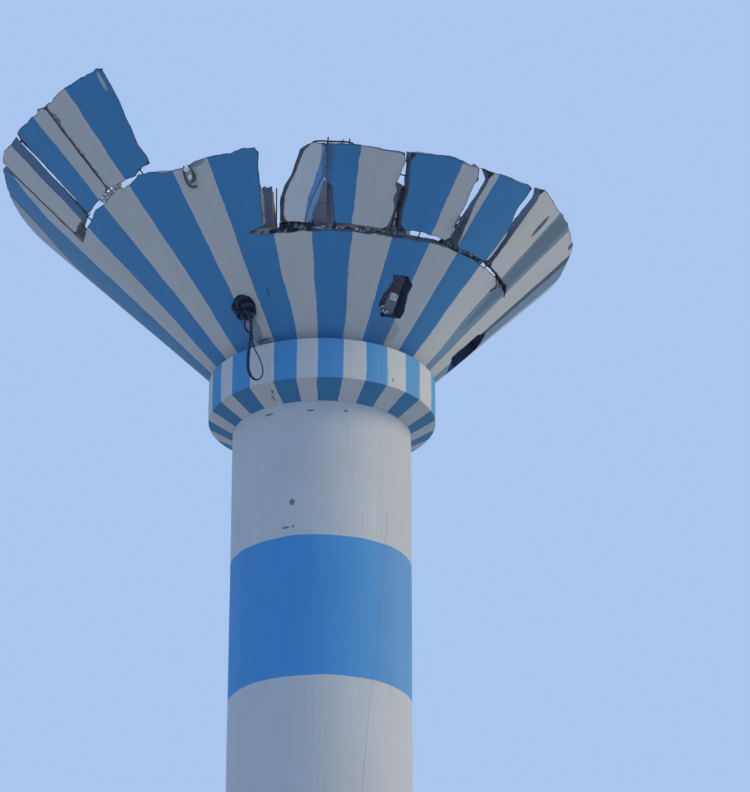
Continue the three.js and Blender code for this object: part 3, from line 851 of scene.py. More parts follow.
def fill_sheet(rings):
    """Spots all over a sheet with this outline and these holes, and the triangles between them."""
    rings = [np.array([tuple(p) for p in ring]) for ring in rings]
    edge = np.concatenate(rings)
    low, high = edge.min(axis=0), edge.max(axis=0)
    columns = np.arange(low[0], high[0], FACE_STEP)
    rows = np.arange(low[1], high[1], FACE_STEP * 0.87)
    grid = np.array([(x + FACE_STEP / 2 * (k % 2), y) for k, y in enumerate(rows) for x in columns])
    good = inside(grid, rings[0])
    for ring in rings[1:]:
        good &= ~inside(grid, ring)
    grid = grid[good]
    near = np.sqrt(((grid[:, None, :] - edge[None, :, :]) ** 2).sum(axis=2)).min(axis=1)
    grid = grid[near > FACE_STEP * 0.55]
    spots = np.concatenate([edge, grid])
    borders = []
    start = 0
    for ring in rings:
        borders += [(start + i, start + (i + 1) % len(ring)) for i in range(len(ring))]
        start += len(ring)
    made = delaunay_2d_cdt([Vector(p) for p in spots], borders, [], 0, 1e-7)
    triangles = np.array(made[2])
    back = {new: old[0] for new, old in enumerate(made[3]) if old}
    middles = np.array([tuple(v) for v in made[0]])[triangles].mean(axis=1)
    good = inside(middles, rings[0])
    for ring in rings[1:]:
        good &= ~inside(middles, ring)
    kept = [[back[v] for v in t] for t in triangles[good] if all(v in back for v in t)]
    return spots, kept


def level(azimuth, distance):
    """The lift of a piece that still lies in the cone's face."""
    return 0.0


def wall_piece(name, nodes, seed, plain, corners, holes=(), lift=level, turned=None, finishes=None):
    """One piece of the cone wall, from its outline's corners and those of its holes. lift is how
    far it stands out of the cone's face, and turned how far its stripes are swung round."""
    shape = bmesh.new()
    broken = shape.verts.layers.float.new("broken")
    turn = shape.verts.layers.float.new("turned")
    rings = [[outline(ring, share, seed, plain) for ring in (corners, *holes)] for share in LAYERS]
    rough_spots = [p for ring in rings[0] for p, rough in ring if rough]
    tree = KDTree(max(1, len(rough_spots)))
    for i, spot in enumerate(rough_spots):
        tree.insert((*spot, 0), i)
    tree.balance()
    loops = []
    for k, share in enumerate(LAYERS):
        borders = [[p for p, _ in ring] for ring in rings[k]]
        last = k == len(LAYERS) - 1
        if k == 0 or last:
            spots, triangles = fill_sheet(borders)
        else:
            spots, triangles = [p for ring in borders for p in ring], []
        verts = []
        for spot in spots:
            swell = 0.006 * noise.noise(Vector((*spot, 7)) * 1.1) if k == 0 else 0.0
            vert = shape.verts.new(roll_up(spot, share, lift, swell))
            if k == 0:
                if rough_spots:
                    vert[broken] = max(0.0, 1 - tree.find((*spot, 0))[2] / CHIP_REACH)
                if turned:
                    vert[turn] = turned(spot)
            verts.append(vert)
        for a, b, c in triangles:
            face = shape.faces.new((verts[a], verts[b], verts[c]))
            face.smooth = True
            face.material_index = 2 if last else 0
        loops.append(verts)
    for here, there in zip(loops, loops[1:]):
        start = 0
        for ring in rings[0]:
            count = len(ring)
            for i in range(count):
                a, b = start + i, start + (i + 1) % count
                face = shape.faces.new((here[a], here[b], there[b], there[a]))
                face.material_index = 2 if start else 1
            start += count
    add_piece(name, shape, finishes or wall, "cone_paint", *nodes)


APEX_Z = FOOT_Z - FOOT_R
CONE_SCARS = [
    ((67.35, 21.89), (0.085, 0.26)), ((-22.4, 20.62), (0.02, 0.09)), ((87.5, 22.14), (0.16, 0.08)),
    ((-32, 20.165), (0.24, 0.014)), ((-31, 20.125), (0.20, 0.012)),
]
SCAR_TONE = (0.045, 0.075, 0.125, 1)
# Dark slate patches, mostly painted shade: the tipped panel's shadow on the first sawn panel and the knot's
# shadow below the left hole, and painted shade with worn paint along the broken heads.
SHADED_AND_WORN = [
    ((29.5, 22.035), (1.1, 0.05)), ((16, 21.985), (0.5, 0.04)), ((-31.3, 21.965), (0.30, 0.07)),
    ((0.9, 21.9), (0.17, 0.62)), ((-35.5, 20.33), (0.20, 0.42)), ((-32.5, 20.13), (0.2, 0.12)),
]
SHADE_AND_WEAR_TONE = (0.085, 0.155, 0.26, 1)
CONE_PALE = (0.535, 0.545, 0.555)
CONE_BLUE = (0.052, 0.235, 0.495)
FADED_BLUE = (0.25, 0.34, 0.41, 1)
TEAL = (0.11, 0.26, 0.36, 1)
SLIVER_TONE = (0.20, 0.36, 0.48, 1)
FLAKED = (0.52, 0.54, 0.56, 1)
LIT_SIDE = (1.22, 1.16, 1.04)
FOOT_JOINT_AND_SHADE = (0.10, 0.11, 0.13, 1)
SEAM_TONE = (0.04, 0.05, 0.07, 1)
BARE_STRIP = (0.32, 0.46, 0.66, 1)
SMUDGE, SMUDGE_R, SMUDGE_TONE = ((74.5, 21.75), (0.36, 1.9)), 2.9, (0.12, 0.16, 0.20, 1)
DRIP, DRIP_R, DRIP_TONE = ((32, 20.27), (0.42, 0.24)), 1.55, (0.10, 0.14, 0.20, 1)
FLAKE = ((-43, 22.98), (0.06, 0.2))
STRIP_FROM = 21.33
STRIP_SLANT = 3.4


def between(value, low, high):
    """1 where the value lies between these."""
    return (value > low) * (value < high)


def cone_finish(name, pale, blue, cracked=False):
    """The cone's striped paint, with its fading, stains and cracks, painted light on its right side
    and painted shade in patches. A cracked piece also has the paint torn off to the right of a
    slanting line."""
    material, shader, place = new_finish(name)
    turned_by = place.node("Attribute", {"attribute_name": "turned"}, None, 2)
    true_azimuth = azimuth_of(place)
    azimuth = true_azimuth + turned_by
    height = height_of(place)
    radius = height - APEX_Z
    rise = fade(height, *EDGES_TURN)
    wobble = speckle(place, 3.2, 4) * 1.2 - 0.6
    share = stripes(azimuth, LOW_EDGES, HIGH_EDGES, rise, False, wobble)
    far_edge = fade(radius, 1.6, 3.4, -113, -110) + fade(radius, 3.4, 4.05, 0, 10)
    sliver = (azimuth > -113.5) * (azimuth + wobble < far_edge)
    share = share * (1 - sliver)
    tone, relief, rough = painted(place, share, pale, blue, azimuth, height)
    to_right = right_side(azimuth, 62, 73)
    tone = blend(to_right * share * 0.75, tone, FADED_BLUE)
    # The right side, towards the lamp, is painted lighter and warmer: painted light, with the pale stripes
    # there a further 11% lighter.
    tone = blend(right_side(azimuth, 42, 66), tone, times(tone, *LIT_SIDE))
    tone = shade(tone, 1 + right_side(azimuth, 48, 60) * (1 - share) * 0.11)
    blurred = speckle(place, 2.5, 4) * 1.6 - 0.8
    tone = marked(tone, (azimuth, height, SMUDGE_R), [SMUDGE], blurred, 0.55, SMUDGE_TONE)
    run_down = speckle(place, 4, 3) - 0.5
    tone = marked(tone, (azimuth, height, DRIP_R), [DRIP], run_down, 0.3, DRIP_TONE)
    ragged = speckle(place, 22, 3) * 0.8 - 0.4
    spot = (true_azimuth, height, radius)
    # Dark slate patches: painted shade, with worn paint along the heads.
    tone = marked(tone, spot, SHADED_AND_WORN, ragged, 0.6, SHADE_AND_WEAR_TONE)
    # The blue beside the crack at the upper left is painted dark slate: painted shade.
    beside_crack = between(true_azimuth, -77, -71) * (height > 22.08) * share
    tone = blend(beside_crack * 0.8, tone, SHADE_AND_WEAR_TONE)
    tone = marked(tone, spot, CONE_SCARS, ragged, 0.85, SCAR_TONE)
    teal = fade(true_azimuth, -96, -86, 0.35, 0) * share
    tone = blend(teal, tone, TEAL)
    tone = blend(sliver * 0.4, tone, SLIVER_TONE)
    tone = marked(tone, spot, [FLAKE], ragged, 0.8, FLAKED)
    seam = between(azimuth + speckle(place, 5, 4) * 1.8, 92.9, 96.6) * (height > 20.9)
    seam = seam + between(azimuth + wobble - far_edge, 0, 1.1) * (radius > 3.5)
    second = between(azimuth + speckle(place, 7, 5, 0.75) * 4.2, -56.5, -55.85)
    seam = seam + second * (height > 22.2) * between(true_azimuth, -60, -56)
    if cracked:
        strayed = azimuth - HIGH_EDGES[8] - 0.75 - (height - STRIP_FROM) * STRIP_SLANT
        strayed = strayed + speckle(place, 8, 3) * 0.5
        tone = blend((strayed > 0) * 0.35, tone, BARE_STRIP)
        seam = seam + between(strayed, -0.14, 0.14) * (height < 21.95)
    tone = blend(seam * 0.75, tone, SEAM_TONE)
    # The cone's foot, in the crease on the ring, is painted darker: the joint, with painted shade.
    foot_line = 1 - fade(height, RING_TOP, RING_TOP + 0.03)
    tone = blend(foot_line * 0.5, tone, FOOT_JOINT_AND_SHADE)
    plug(shader, Base_Color=tone, Roughness=rough, Normal=bump(relief, 0.008))
    return material


cone_paint = cone_finish("cone_paint", CONE_PALE, CONE_BLUE)

# The tank's inner face, and the sides of its holes, are painted dark navy with
# paler patches: painted shade, for the shade inside the tank and its holes.
INSIDE_SHADE_DARK = (0.012, 0.03, 0.085, 1)
INSIDE_SHADE_PALE = (0.045, 0.07, 0.15, 1)
inside_shade, inside_shade_shader, inside_shade_place = new_finish("tank_inside_shade")
inside_shade_patches = speckle(times(inside_shade_place, 2, 2, 0.8), 1.0, 6, 0.65)
inside_shade_tone = blend(inside_shade_patches, INSIDE_SHADE_DARK, INSIDE_SHADE_PALE)
inside_shade_relief = bump(inside_shade_patches, 0.01)
plug(inside_shade_shader, Base_Color=inside_shade_tone, Roughness=0.7 + inside_shade_patches * 0.2, Normal=inside_shade_relief)
wall = [cone_paint, raw, inside_shade]
HEAD_BACK = 0.034
CUT_BACK = 0.11


def foot_of(first, last):
    """The two corners where a piece stands on the ring."""
    return (first, FOOT_R, 0), (last, FOOT_R, 0)


def head(azimuth, radius, rough=0.012, back=HEAD_BACK):
    """A corner of a broken head, whose inner side lies a little lower."""
    return azimuth, radius, rough, azimuth, radius - back


def lip(azimuth, radius, rough=0.01):
    """A corner of the upper cut's lower side, whose inner side lies well below it."""
    return head(azimuth, radius, rough, CUT_BACK)


LIP = [2.432, 2.445, 2.492, 2.505]
FRONT = [-15, 15.6, 46.2, 76.8]
RIGHT_HOLE = [
    (26.7, 2.081), (32.1, 2.10), (35.3, 2.035), (35.2, 1.94), (36.3, 1.87), (37.0, 1.77), (36.9, 1.70),
    (27.5, 1.666), (24.7, 1.78), (25.2, 1.89), (27.6, 2.0),
]
LEFT_HOLE = [
    (-40.4, 1.79, 0.015), (-38.8, 1.70, 0.015), (-35, 1.66, 0.015), (-31.2, 1.70, 0.015),
    (-29.6, 1.79, 0.015), (-31.2, 1.88, 0.015), (-35, 1.92, 0.015), (-38.8, 1.88, 0.015),
]
wall_piece("front_wall_1", ["cone_front_1"], 1.3, 0.012, [
    *foot_of(FRONT[0], FRONT[1]), (FRONT[1], LIP[1]), (0, 2.44), (FRONT[0], LIP[0], 0),
])
wall_piece("front_wall_2", ["cone_front_2"], 2.3, 0.012, [
    *foot_of(FRONT[1], FRONT[2]), (FRONT[2], LIP[2]), (37, 2.487), (29, 2.462), (22, 2.445),
    (FRONT[1], LIP[1], 0),
], holes=[RIGHT_HOLE])
wall_piece("front_wall_3", ["cone_front_3"], 3.3, 0.012, [
    *foot_of(FRONT[2], FRONT[3]), (FRONT[3], LIP[3]), (60, 2.503), (FRONT[2], LIP[2], 0),
])

UPPER_LIP = {-84: 3.305, -50: 3.304}
wall_piece("left_wall_1", ["cone_left_1"], 4.3, 0.008, [
    *foot_of(-50, FRONT[0]), (FRONT[0], LIP[0], 0.012), (-18.8, 2.445), (-22.8, 2.478),
    (-18.7, 2.51, 0.01), (-18.4, 2.53, 0.012, -18.6, 2.53), (-17.1, 2.77, 0.012, -17.3, 2.77),
    (-16.5, 2.91, 0.012, -17.6, 2.91), (-15.7, 3.10, 0.014, -16.9, 3.10),
    (-15.3, 3.224, 0.014, -16.5, 3.21), (-15.6, 3.235, 0.014, -16.9, 3.21), head(-16.6, 3.268),
    head(-19, 3.272), head(-21.5, 3.258), head(-27, 3.262), head(-31, 3.255), head(-33.8, 3.225),
    head(-38, 3.245), head(-40.5, 3.25), head(-42, 3.29), lip(-47.2, 3.33, 0.012),
    lip(-49.2, 3.307, 0.008), lip(-50, UPPER_LIP[-50], 0),
], holes=[LEFT_HOLE])
wall_piece("left_wall_2", ["cone_left_2"], 5.3, 0.012, [
    *foot_of(-84, -50), lip(-50, UPPER_LIP[-50]), lip(-53.4, 3.293), lip(-55.1, 3.325),
    lip(-62.3, 3.296), lip(-67.1, 3.316), lip(-69.9, 3.305), lip(-76.5, 3.298), (-78.5, 3.30),
    (-84, UPPER_LIP[-84], 0),
])

# The left and back wall that still stands to the height of the old rim. Its
# head and its two ends are broken, with the inner face standing proud at them.
TALL = [-165, -138, -111, -84]
SWING_RADII = (3.8, 4.4)
SWING_TURNS = (0, -5)


def swung_at_top(spot):
    """Swings the stripes of the tall wall's first piece round to the right towards its head."""
    return float(np.interp(math.hypot(*spot) * SLOPE, SWING_RADII, SWING_TURNS))


wall_piece("tall_wall_1", ["cone_tall_1"], 6.3, 0.015, [
    *foot_of(TALL[2], TALL[3]), (TALL[3], 3.31), (-84, 3.42), (-84.1, 4.0), (-84.2, 4.25),
    (-85.6, 4.44, 0.02, -85.2, 4.43), (-95, 4.42, 0.025), (TALL[2], 4.38, 0),
], turned=swung_at_top)
wall_piece("tall_wall_2", ["cone_tall_2"], 7.3, 0.025, [
    *foot_of(TALL[1], TALL[2]), (TALL[2], 4.38), (-124, 4.36), (TALL[1], 4.38, 0),
])
wall_piece("tall_wall_3", ["cone_tall_3"], 8.3, 0.025, [
    *foot_of(TALL[0], TALL[1]), (TALL[1], 4.38), (-150, 4.39),
    (-163.4, 4.36, 0.025, -164.8, 4.34), (-164.6, 3.7, 0.02), (-165, 3.44, 0),
])

# The right and back wall, cut off at the middle level. Its first piece also
# carries the last of the sawn panels, joined on beyond the end of the cut.
SIDE_HOLE = [
    (93.5, 2.229, 0.02), (90.4, 2.12, 0.02), (89.8, 2.04, 0.02), (88.9, 1.87, 0.02), (88.5, 1.76, 0.02),
    (98, 1.74, 0.02), (111, 1.80, 0.02), (113, 2.0, 0.02), (109, 2.25, 0.02),
]
wall_piece("right_wall", ["cone_back_1", "cone_back_2"], 9.3, 0.012, [
    *foot_of(FRONT[3], 125), (125, 3.44, 0.02), (110, 3.43, 0.02), (98, 3.41, 0.02),
    (90, 3.43, 0.015), head(88, 3.455), head(84, 3.42), head(72, 3.415), head(67.9, 3.398),
    head(62.8, 3.425), head(59.4, 3.432), (57.6, 3.405, 0.012, 59.2, 3.39), (58.8, 3.36, 0.01, 60.4, 3.35),
    (59.4, 3.30, 0.01, 61.0, 3.30), (59.5, 3.19, 0.01, 61.1, 3.19), (59.7, 3.09, 0.01, 61.3, 3.09),
    (60.1, 2.96, 0.01, 61.6, 2.96), (60.3, 2.83, 0.01, 61.8, 2.83), (60.6, 2.71, 0.01, 61.8, 2.71),
    (60.6, 2.59, 0.01, 61.2, 2.59), (59.8, 2.54), (67, 2.548), (75, 2.555), (79.6, 2.53, 0.01),
    (FRONT[3], LIP[3], 0),
], holes=[SIDE_HOLE])
wall_piece("back_wall_1", ["cone_back_3"], 11.3, 0.02, [
    *foot_of(125, 160), (160, 3.45), (142, 3.42), (125, 3.44, 0),
])
wall_piece("back_wall_2", ["cone_back_4"], 12.3, 0.02, [
    *foot_of(160, 195), (195, 3.44), (178, 3.43), (160, 3.45, 0),
])

# The sawn panels over the front cut, each held only by its reinforcement. The
# saw and the breaker have left their sides ragged and the paint torn off.


def swung(azimuths, turns):
    """Swings the stripes by these numbers of degrees at these azimuths."""
    def turned(spot):
        return float(np.interp(math.degrees(math.atan2(*spot)) / UNROLLED, azimuths, turns))
    return turned


wall_piece("sawn_panel_1", ["panel_1"], 13.3, 0.01, [
    (3.1, 2.505, 0.01, 1.0, 2.505), (19.0, 2.50, 0.01, 22.5, 2.50), (19.9, 2.62, 0.008, 22.3, 2.62),
    (20.0, 2.68, 0.01, 22.3, 2.68), (18.9, 2.82, 0.008, 22.3, 2.82), (19.7, 2.90, 0.008, 22.3, 2.90),
    (18.6, 2.935, 0.008, 19.4, 2.935), (19.3, 3.06), (19.6, 3.17), head(18.8, 3.25), head(12.3, 3.262),
    head(5.8, 3.268), (0.0, 3.27, 0.008, 0.9, 3.245), (0.3, 2.92, 0.008, 1.1, 2.90),
    (2.2, 2.86, 0.01, 0.9, 2.84),
], turned=swung((0, 20), (0.6, 0.6)))
wall_piece("sawn_panel_2", ["panel_2"], 14.3, 0.01, [
    (23.3, 2.505), (27, 2.54), (36, 2.55), (40.9, 2.525), (39.9, 2.66), (39.4, 2.83), (39.7, 2.95),
    (39.2, 3.05, 0.008), (38.9, 3.13, 0.008), (39.4, 3.19), (38.2, 3.295), head(38.0, 3.30),
    head(34.5, 3.30), head(31, 3.312), head(27, 3.295), head(22.3, 3.27), head(20.2, 3.262, 0.01),
    (21.0, 3.09), (21.5, 2.99), (22.3, 2.86), (22.2, 2.70),
], turned=swung((20, 34), (1.4, 0.7)))
wall_piece("sawn_panel_3", ["panel_3"], 15.3, 0.01, [
    (44.0, 2.52), (52, 2.535), (58.6, 2.545), (59.0, 2.70), (58.6, 2.85), (57.0, 2.98), (55.6, 3.12),
    (55.6, 3.25), (55.2, 3.36, 0.01, 55.2, 3.335), head(52.9, 3.375), head(50.8, 3.338), head(47.8, 3.34),
    head(45.9, 3.33), head(43.3, 3.32), head(39.6, 3.31, 0.01), (41.0, 3.28), (42.2, 3.2, 0.01, 43.6, 3.2),
    (42.0, 3.07, 0.01, 44.0, 3.07), (42.1, 2.93, 0.01, 43.6, 2.93), (42.5, 2.82, 0.01, 43.2, 2.82),
    (43.3, 2.68),
], turned=swung((45, 56), (1.4, -0.8)))

# The tipped panel: sawn free on both sides, it has slid down on to rubble in
# the cut and leans out of the cone's face, turned a little to the right. Its
# broken sides are old breaks, painted nearly black as painted shade.
LOOSE_FOOT = slope_at(2.53)
LOOSE_TOP = slope_at(3.27)
TIP_OUT = 0.07
TURN_OUT = 0.05
TURN_ABOUT = -4
# The tipped panel's paint is a lighter copy of the cone's: painted light, as the panel faces the lamp more.
LIT_LOOSE_PALE = (0.60, 0.63, 0.70)
LIT_LOOSE_BLUE = (0.12, 0.32, 0.60)
BREAK_SHADE_DARK = (0.006, 0.010, 0.022, 1)
BREAK_SHADE_PALE = (0.03, 0.04, 0.065, 1)
# The left edge of the panel's blue strip: how far it lies from the stripe's own, by radius.
BLUE_EDGE_RADII = (2.54, 2.62, 2.75, 2.85, 3.02, 3.15, 3.25)
BLUE_EDGE_TURNS = (-5.7, -5.0, -4.1, -3.1, -1.55, -0.5, 0.0)


def grained(name, scale, detail, tones, rough, depth, spread=None):
    """A finish with one fine grain, from a dark to a pale tone. rough is its roughness at the
    two, and spread the values of the grain between which the one passes into the other."""
    finish, shader, place = new_finish(name)
    grain = speckle(place, scale, detail, 0.7)
    tone = blend(fade(grain, *spread) if spread else grain, *tones)
    smooth, matt = rough
    plug(shader, Base_Color=tone, Roughness=smooth + grain * (matt - smooth), Normal=bump(grain, depth))
    return finish


# Nearly black broken concrete with a paler grain: painted shade, for the tipped panel's sides and rubble in
# the cut.
shaded_break = grained("shaded_break", 14, 7, (BREAK_SHADE_DARK, BREAK_SHADE_PALE), (0.45, 0.85), 0.02)


def tipped(azimuth, distance):
    """How far the panel stands out of the cone's face: more at its head and at its left."""
    up = (distance - LOOSE_FOOT) / (LOOSE_TOP - LOOSE_FOOT)
    return TIP_OUT * up + TURN_OUT * (TURN_ABOUT - azimuth) / 9


def loose_paint(spot):
    """Turns the stripes with the panel, so that its blue strip follows its right side."""
    return HIGH_EDGES[8] - float(np.interp(math.hypot(*spot) * SLOPE, BLUE_EDGE_RADII, BLUE_EDGE_TURNS))


loose_finish = cone_finish("loose_paint", LIT_LOOSE_PALE, LIT_LOOSE_BLUE, cracked=True)
wall_piece("tipped_panel", ["loose_panel"], 16.3, 0.006, [
    (-11.7, 2.545, 0.008, -13.7, 2.51), (-3.5, 2.51, 0.006, -4.2, 2.51), (-2.9, 2.62, 0.006, -3.7, 2.62),
    (-1.5, 2.715, 0.006, -2.3, 2.715), (-0.1, 2.88, 0.006, -0.9, 2.88), (0.9, 3.04, 0.006, 0.1, 3.04),
    (0.8, 3.18, 0.006, 0.0, 3.18), (0.2, 3.288, 0.008, -0.6, 3.25), (-2.2, 3.295, 0.008, -2.6, 3.245),
    (-3.1, 3.283, 0.006, -4.0, 3.24), (-4.5, 3.22, 0.005, -5.6, 3.20), (-5.5, 3.15, 0.005, -6.8, 3.10),
    (-6.8, 3.03, 0.005, -8.2, 2.97), (-9.1, 2.88, 0.006, -10.8, 2.85), (-10.5, 2.79, 0.006, -12.4, 2.74),
], lift=tipped, turned=loose_paint, finishes=[loose_finish, shaded_break, inside_shade])

# The cracked panels at the upper left, still up to the old rim and parted from
# the wall below by the upper cut.
wall_piece("rim_panel_right", ["rim_panel_1"], 17.3, 0.006, [
    (-42.5, 3.38, 0.012, -44.7, 3.36), (-42.2, 3.45, 0.012, -44.4, 3.45), (-43.0, 3.57, 0.012, -45.1, 3.57),
    (-42.3, 3.73, 0.012, -44.3, 3.73), (-41.8, 4.0, 0.012, -43.7, 4.0), (-41.5, 4.15, 0.012, -43.3, 4.15),
    (-41.7, 4.36, 0.01, -43.4, 4.34), head(-42.8, 4.384), head(-43.7, 4.367), head(-47, 4.377),
    head(-48.5, 4.367), head(-52.4, 4.37), head(-54.65, 4.363), head(-56.1, 4.346), head(-57.3, 4.351),
    head(-58.6, 4.345, 0.006), (-58.5, 3.9), (-58.1, 3.42, 0.008), (-57.4, 3.371, 0.01, -57.4, 3.39),
    (-52.5, 3.345, 0.01, -52.5, 3.37), (-48.4, 3.327, 0.01, -48.4, 3.355),
    (-46.5, 3.371, 0.01, -46.5, 3.39),
])
wall_piece("rim_panel_middle", ["rim_panel_2"], 18.3, 0.006, [
    (-58.4, 3.42), (-58.8, 3.9), (-58.9, 4.345, 0.01), head(-60.8, 4.377), head(-61.7, 4.356),
    head(-65.55, 4.37), head(-70.1, 4.391), (-70.9, 4.385, 0.01, -75.1, 4.36),
    (-70.9, 3.358, 0.01, -75.1, 3.40), (-66.7, 3.355, 0.01, -66.7, 3.40), (-61.3, 3.357, 0.01, -61.3, 3.39),
    (-58.8, 3.37, 0.008, -58.8, 3.39),
])
wall_piece("rim_panel_left", ["rim_panel_3"], 19.3, 0.01, [
    (-71.8, 3.362, 0.01, -76, 3.41), (-71.8, 4.385, 0.012, -76, 4.36), head(-74.6, 4.392),
    head(-79.4, 4.46), (-83.4, 4.445), (-83.5, 4.25), (-83.6, 4.0), (-83.4, 3.45), (-83.3, 3.405),
    (-77, 3.395), (-74.8, 3.38), (-74, 3.36, 0.01, -76.8, 3.41),
])

# Rubble in the front cut: lumps of broken concrete caught on its lower lip, with
# the most of them under the tipped panel, which stands on them.
# From and to azimuth, count, size in metres, and which of the finishes they have.
LIP_RUBBLE = [
    (-13, -3.4, 60, 0.066, (0, 1, 1)), (-3, 20, 60, 0.026, (0, 2)), (18.5, 25.5, 22, 0.055, (0,)),
    (40, 58.3, 74, 0.045, (0,)), (-20, -13, 14, 0.03, (0, 1)),
]
LIMED_GREY = (0.34, 0.36, 0.40, 1)
LIMED_WHITE = (0.82, 0.83, 0.85, 1)
LUMP_POINTS = 11
rubble_shape = bmesh.new()
luck = random.Random(7)


def add_lump(shape, middle, size, finish=0):
    """A broken lump: the hull of a few points round its middle."""
    verts = []
    for _ in range(LUMP_POINTS):
        way = Vector([luck.gauss(0, 1) for _ in range(3)]).normalized()
        verts.append(shape.verts.new(middle + way * size * luck.uniform(0.75, 1.1)))
    made = bmesh.ops.convex_hull(shape, input=verts)
    loose = [v for v in made["geom_interior"] + made["geom_unused"] if isinstance(v, bmesh.types.BMVert)]
    bmesh.ops.delete(shape, geom=list(dict.fromkeys(loose)), context="VERTS")
    for face in {face for vert in verts if vert.is_valid for face in vert.link_faces}:
        face.material_index = finish


for first, last, count, size, kinds in LIP_RUBBLE:
    for _ in range(count):
        azimuth = luck.uniform(first, last)
        depth = luck.uniform(0.02, 0.15)
        reach = size * luck.uniform(0.6, 1.1)
        lip_r = float(np.interp(azimuth, FRONT, LIP))
        middle = on_cone(azimuth, slope_at(lip_r) + reach * luck.uniform(0.5, 1.2), depth)
        add_lump(rubble_shape, middle, reach, luck.choice(kinds))
add_lump(rubble_shape, on_cone(41.5, slope_at(2.72), 0.03), 0.05)
limed = grained("limed_rubble", 18, 7, (LIMED_GREY, LIMED_WHITE), (0.85, 0.95), 0.015, (0.35, 0.65))
# Some lumps have the nearly black finish: painted shade in the cut.
add_piece("cut_rubble", rubble_shape, [raw, shaded_break, limed], "raw_concrete", "rubble_wedge")

# Crushed bits, white with lime, that lie in the upper cut and on the sill of the
# right sling hole, and the two broken blocks that stand in that hole.
# From and to azimuth, from and to radius, count, size, and how deep in the wall.
BITS = [(-64, -55, 3.31, 3.345, 110, 0.030, 0.08), (25.5, 31, 1.69, 1.75, 9, 0.028, 0.12)]
bits_shape = bmesh.new()
for first, last, low, high, count, size, deep in BITS:
    for _ in range(count):
        azimuth, radius = luck.uniform(first, last), luck.uniform(low, high)
        where = on_cone(azimuth, slope_at(radius), luck.uniform(0.01, deep))
        add_lump(bits_shape, where, size * luck.uniform(0.6, 1.1))
# Their azimuths, radii, depths and finish.
BLOCKS = [((29.6, 33.0), (1.832, 1.89), (0.08, 0.15), 0), ((28.6, 34.0), (1.68, 1.832), (0.09, 0.17), 1)]
for turns, radii, depths, finish in BLOCKS:
    hull = [bits_shape.verts.new(on_cone(azimuth + luck.uniform(-0.2, 0.2), slope_at(radius), depth))
            for azimuth in turns for radius in radii for depth in depths]
    for face in bmesh.ops.convex_hull(bits_shape, input=hull)["geom"]:
        if isinstance(face, bmesh.types.BMFace):
            face.material_index = finish
add_piece("limed_bits", bits_shape, [limed, raw], "raw_concrete")

# Reinforcement: 18 mm steel bars left in the cuts and gaps, cast into the wall on
# both sides, bent by the fall of the panels and rusty since.
BAR_R = 0.009
HEAD_BAR_R = 0.011
RUST_DARK = (0.02, 0.018, 0.02, 1)
RUST_PALE = (0.08, 0.05, 0.038, 1)
rust = grained("rusty_bars", 45, 6, (RUST_DARK, RUST_PALE), (0.75, 0.95), 0.003)


def in_wall(azimuth, radius, share=0.5, out=0.0):
    """The point at this share of the wall's thickness, or as far out of it."""
    distance = slope_at(radius)
    return on_cone(azimuth, distance, share * wall_depth(distance) - out)


def bent_bar(shape, places, radius=BAR_R):
    """A bar through places, each an azimuth, radius, share of the wall's thickness and way out."""
    add_tube(shape, through([in_wall(*place) for place in places], 5), radius, 6)


def cut_bars(shape, azimuths, radii, bowed):
    """Bars up across a cut, from its lower lip over its middle to its upper lip."""
    low, middle, high = radii
    for azimuth in azimuths:
        bow = luck.uniform(*bowed)
        sway = luck.uniform(-0.4, 0.4)
        bent_bar(shape, [(azimuth, low), (azimuth + sway, middle, 0.5, bow), (azimuth, high)])


front_bars = bmesh.new()
cut_bars(front_bars, (4, 12.5, 25.5, 31, 39.5, 47, 53.5, 62, 70.5, 76.5), (2.41, 2.50, 2.62), (-0.02, 0.03))
for radius in np.arange(2.6, 3.2, 0.14):
    bow = luck.uniform(-0.03, 0.03)
    bent_bar(front_bars, [(18.3, radius), (20.6, radius, 0.5, bow), (23, radius)])
LOOSE_ENDS = [
    [(68.5, 2.60, 0.4), (68.3, 2.50, 0.2, 0.05), (67.6, 2.44, 0, 0.10), (67.9, 2.39, 0, 0.06),
     (68.8, 2.38, 0, 0.05)],
    [(72.5, 2.60, 0.4), (72, 2.53, 0.2, 0.04), (70.8, 2.49, 0, 0.05), (70.2, 2.47, 0, 0.07)],
    [(76.5, 2.60, 0.4), (77.5, 2.52, 0.2, 0.05), (78, 2.47, 0, 0.05)],
    [(40.6, 2.80, 0.4), (39.4, 2.80, 0, 0.04), (38.6, 2.75, 0, 0.06), (39.2, 2.70, 0, 0.05),
     (40.4, 2.71, 0.2)],
    [(42.6, 2.78, 0.4), (41.3, 2.79, 0, 0.03), (40.6, 2.73, 0, 0.05), (41.4, 2.67, 0, 0.04),
     (43, 2.66, 0.2)],
]
for places in LOOSE_ENDS:
    bent_bar(front_bars, places)
HEAD_BAR = [(-2.5, 3.20, 0.4), (-2.3, 3.283, 0.1), (2, 3.283, 0.2), (6.5, 3.272, 0.25), (7, 3.18, 0.45)]
bent_bar(front_bars, HEAD_BAR, HEAD_BAR_R)
for azimuth, radius in ((0.8, 3.32), (4.1, 3.30), (5.8, 3.31)):
    end = (azimuth + luck.uniform(-0.3, 0.3), radius, 0.3)
    bent_bar(front_bars, [(azimuth, 3.15, 0.4), (azimuth, 3.25, 0.35), end])
add_piece("front_bars", front_bars, [rust], "rusty_bars", "front_rebar")

upper_bars = bmesh.new()
cut_bars(upper_bars, (-80, -74.5, -61.5, -59.5, -57.5, -47), (3.27, 3.35, 3.44), (-0.02, 0.02))
add_piece("upper_bars", upper_bars, [rust], "rusty_bars", "upper_rebar")

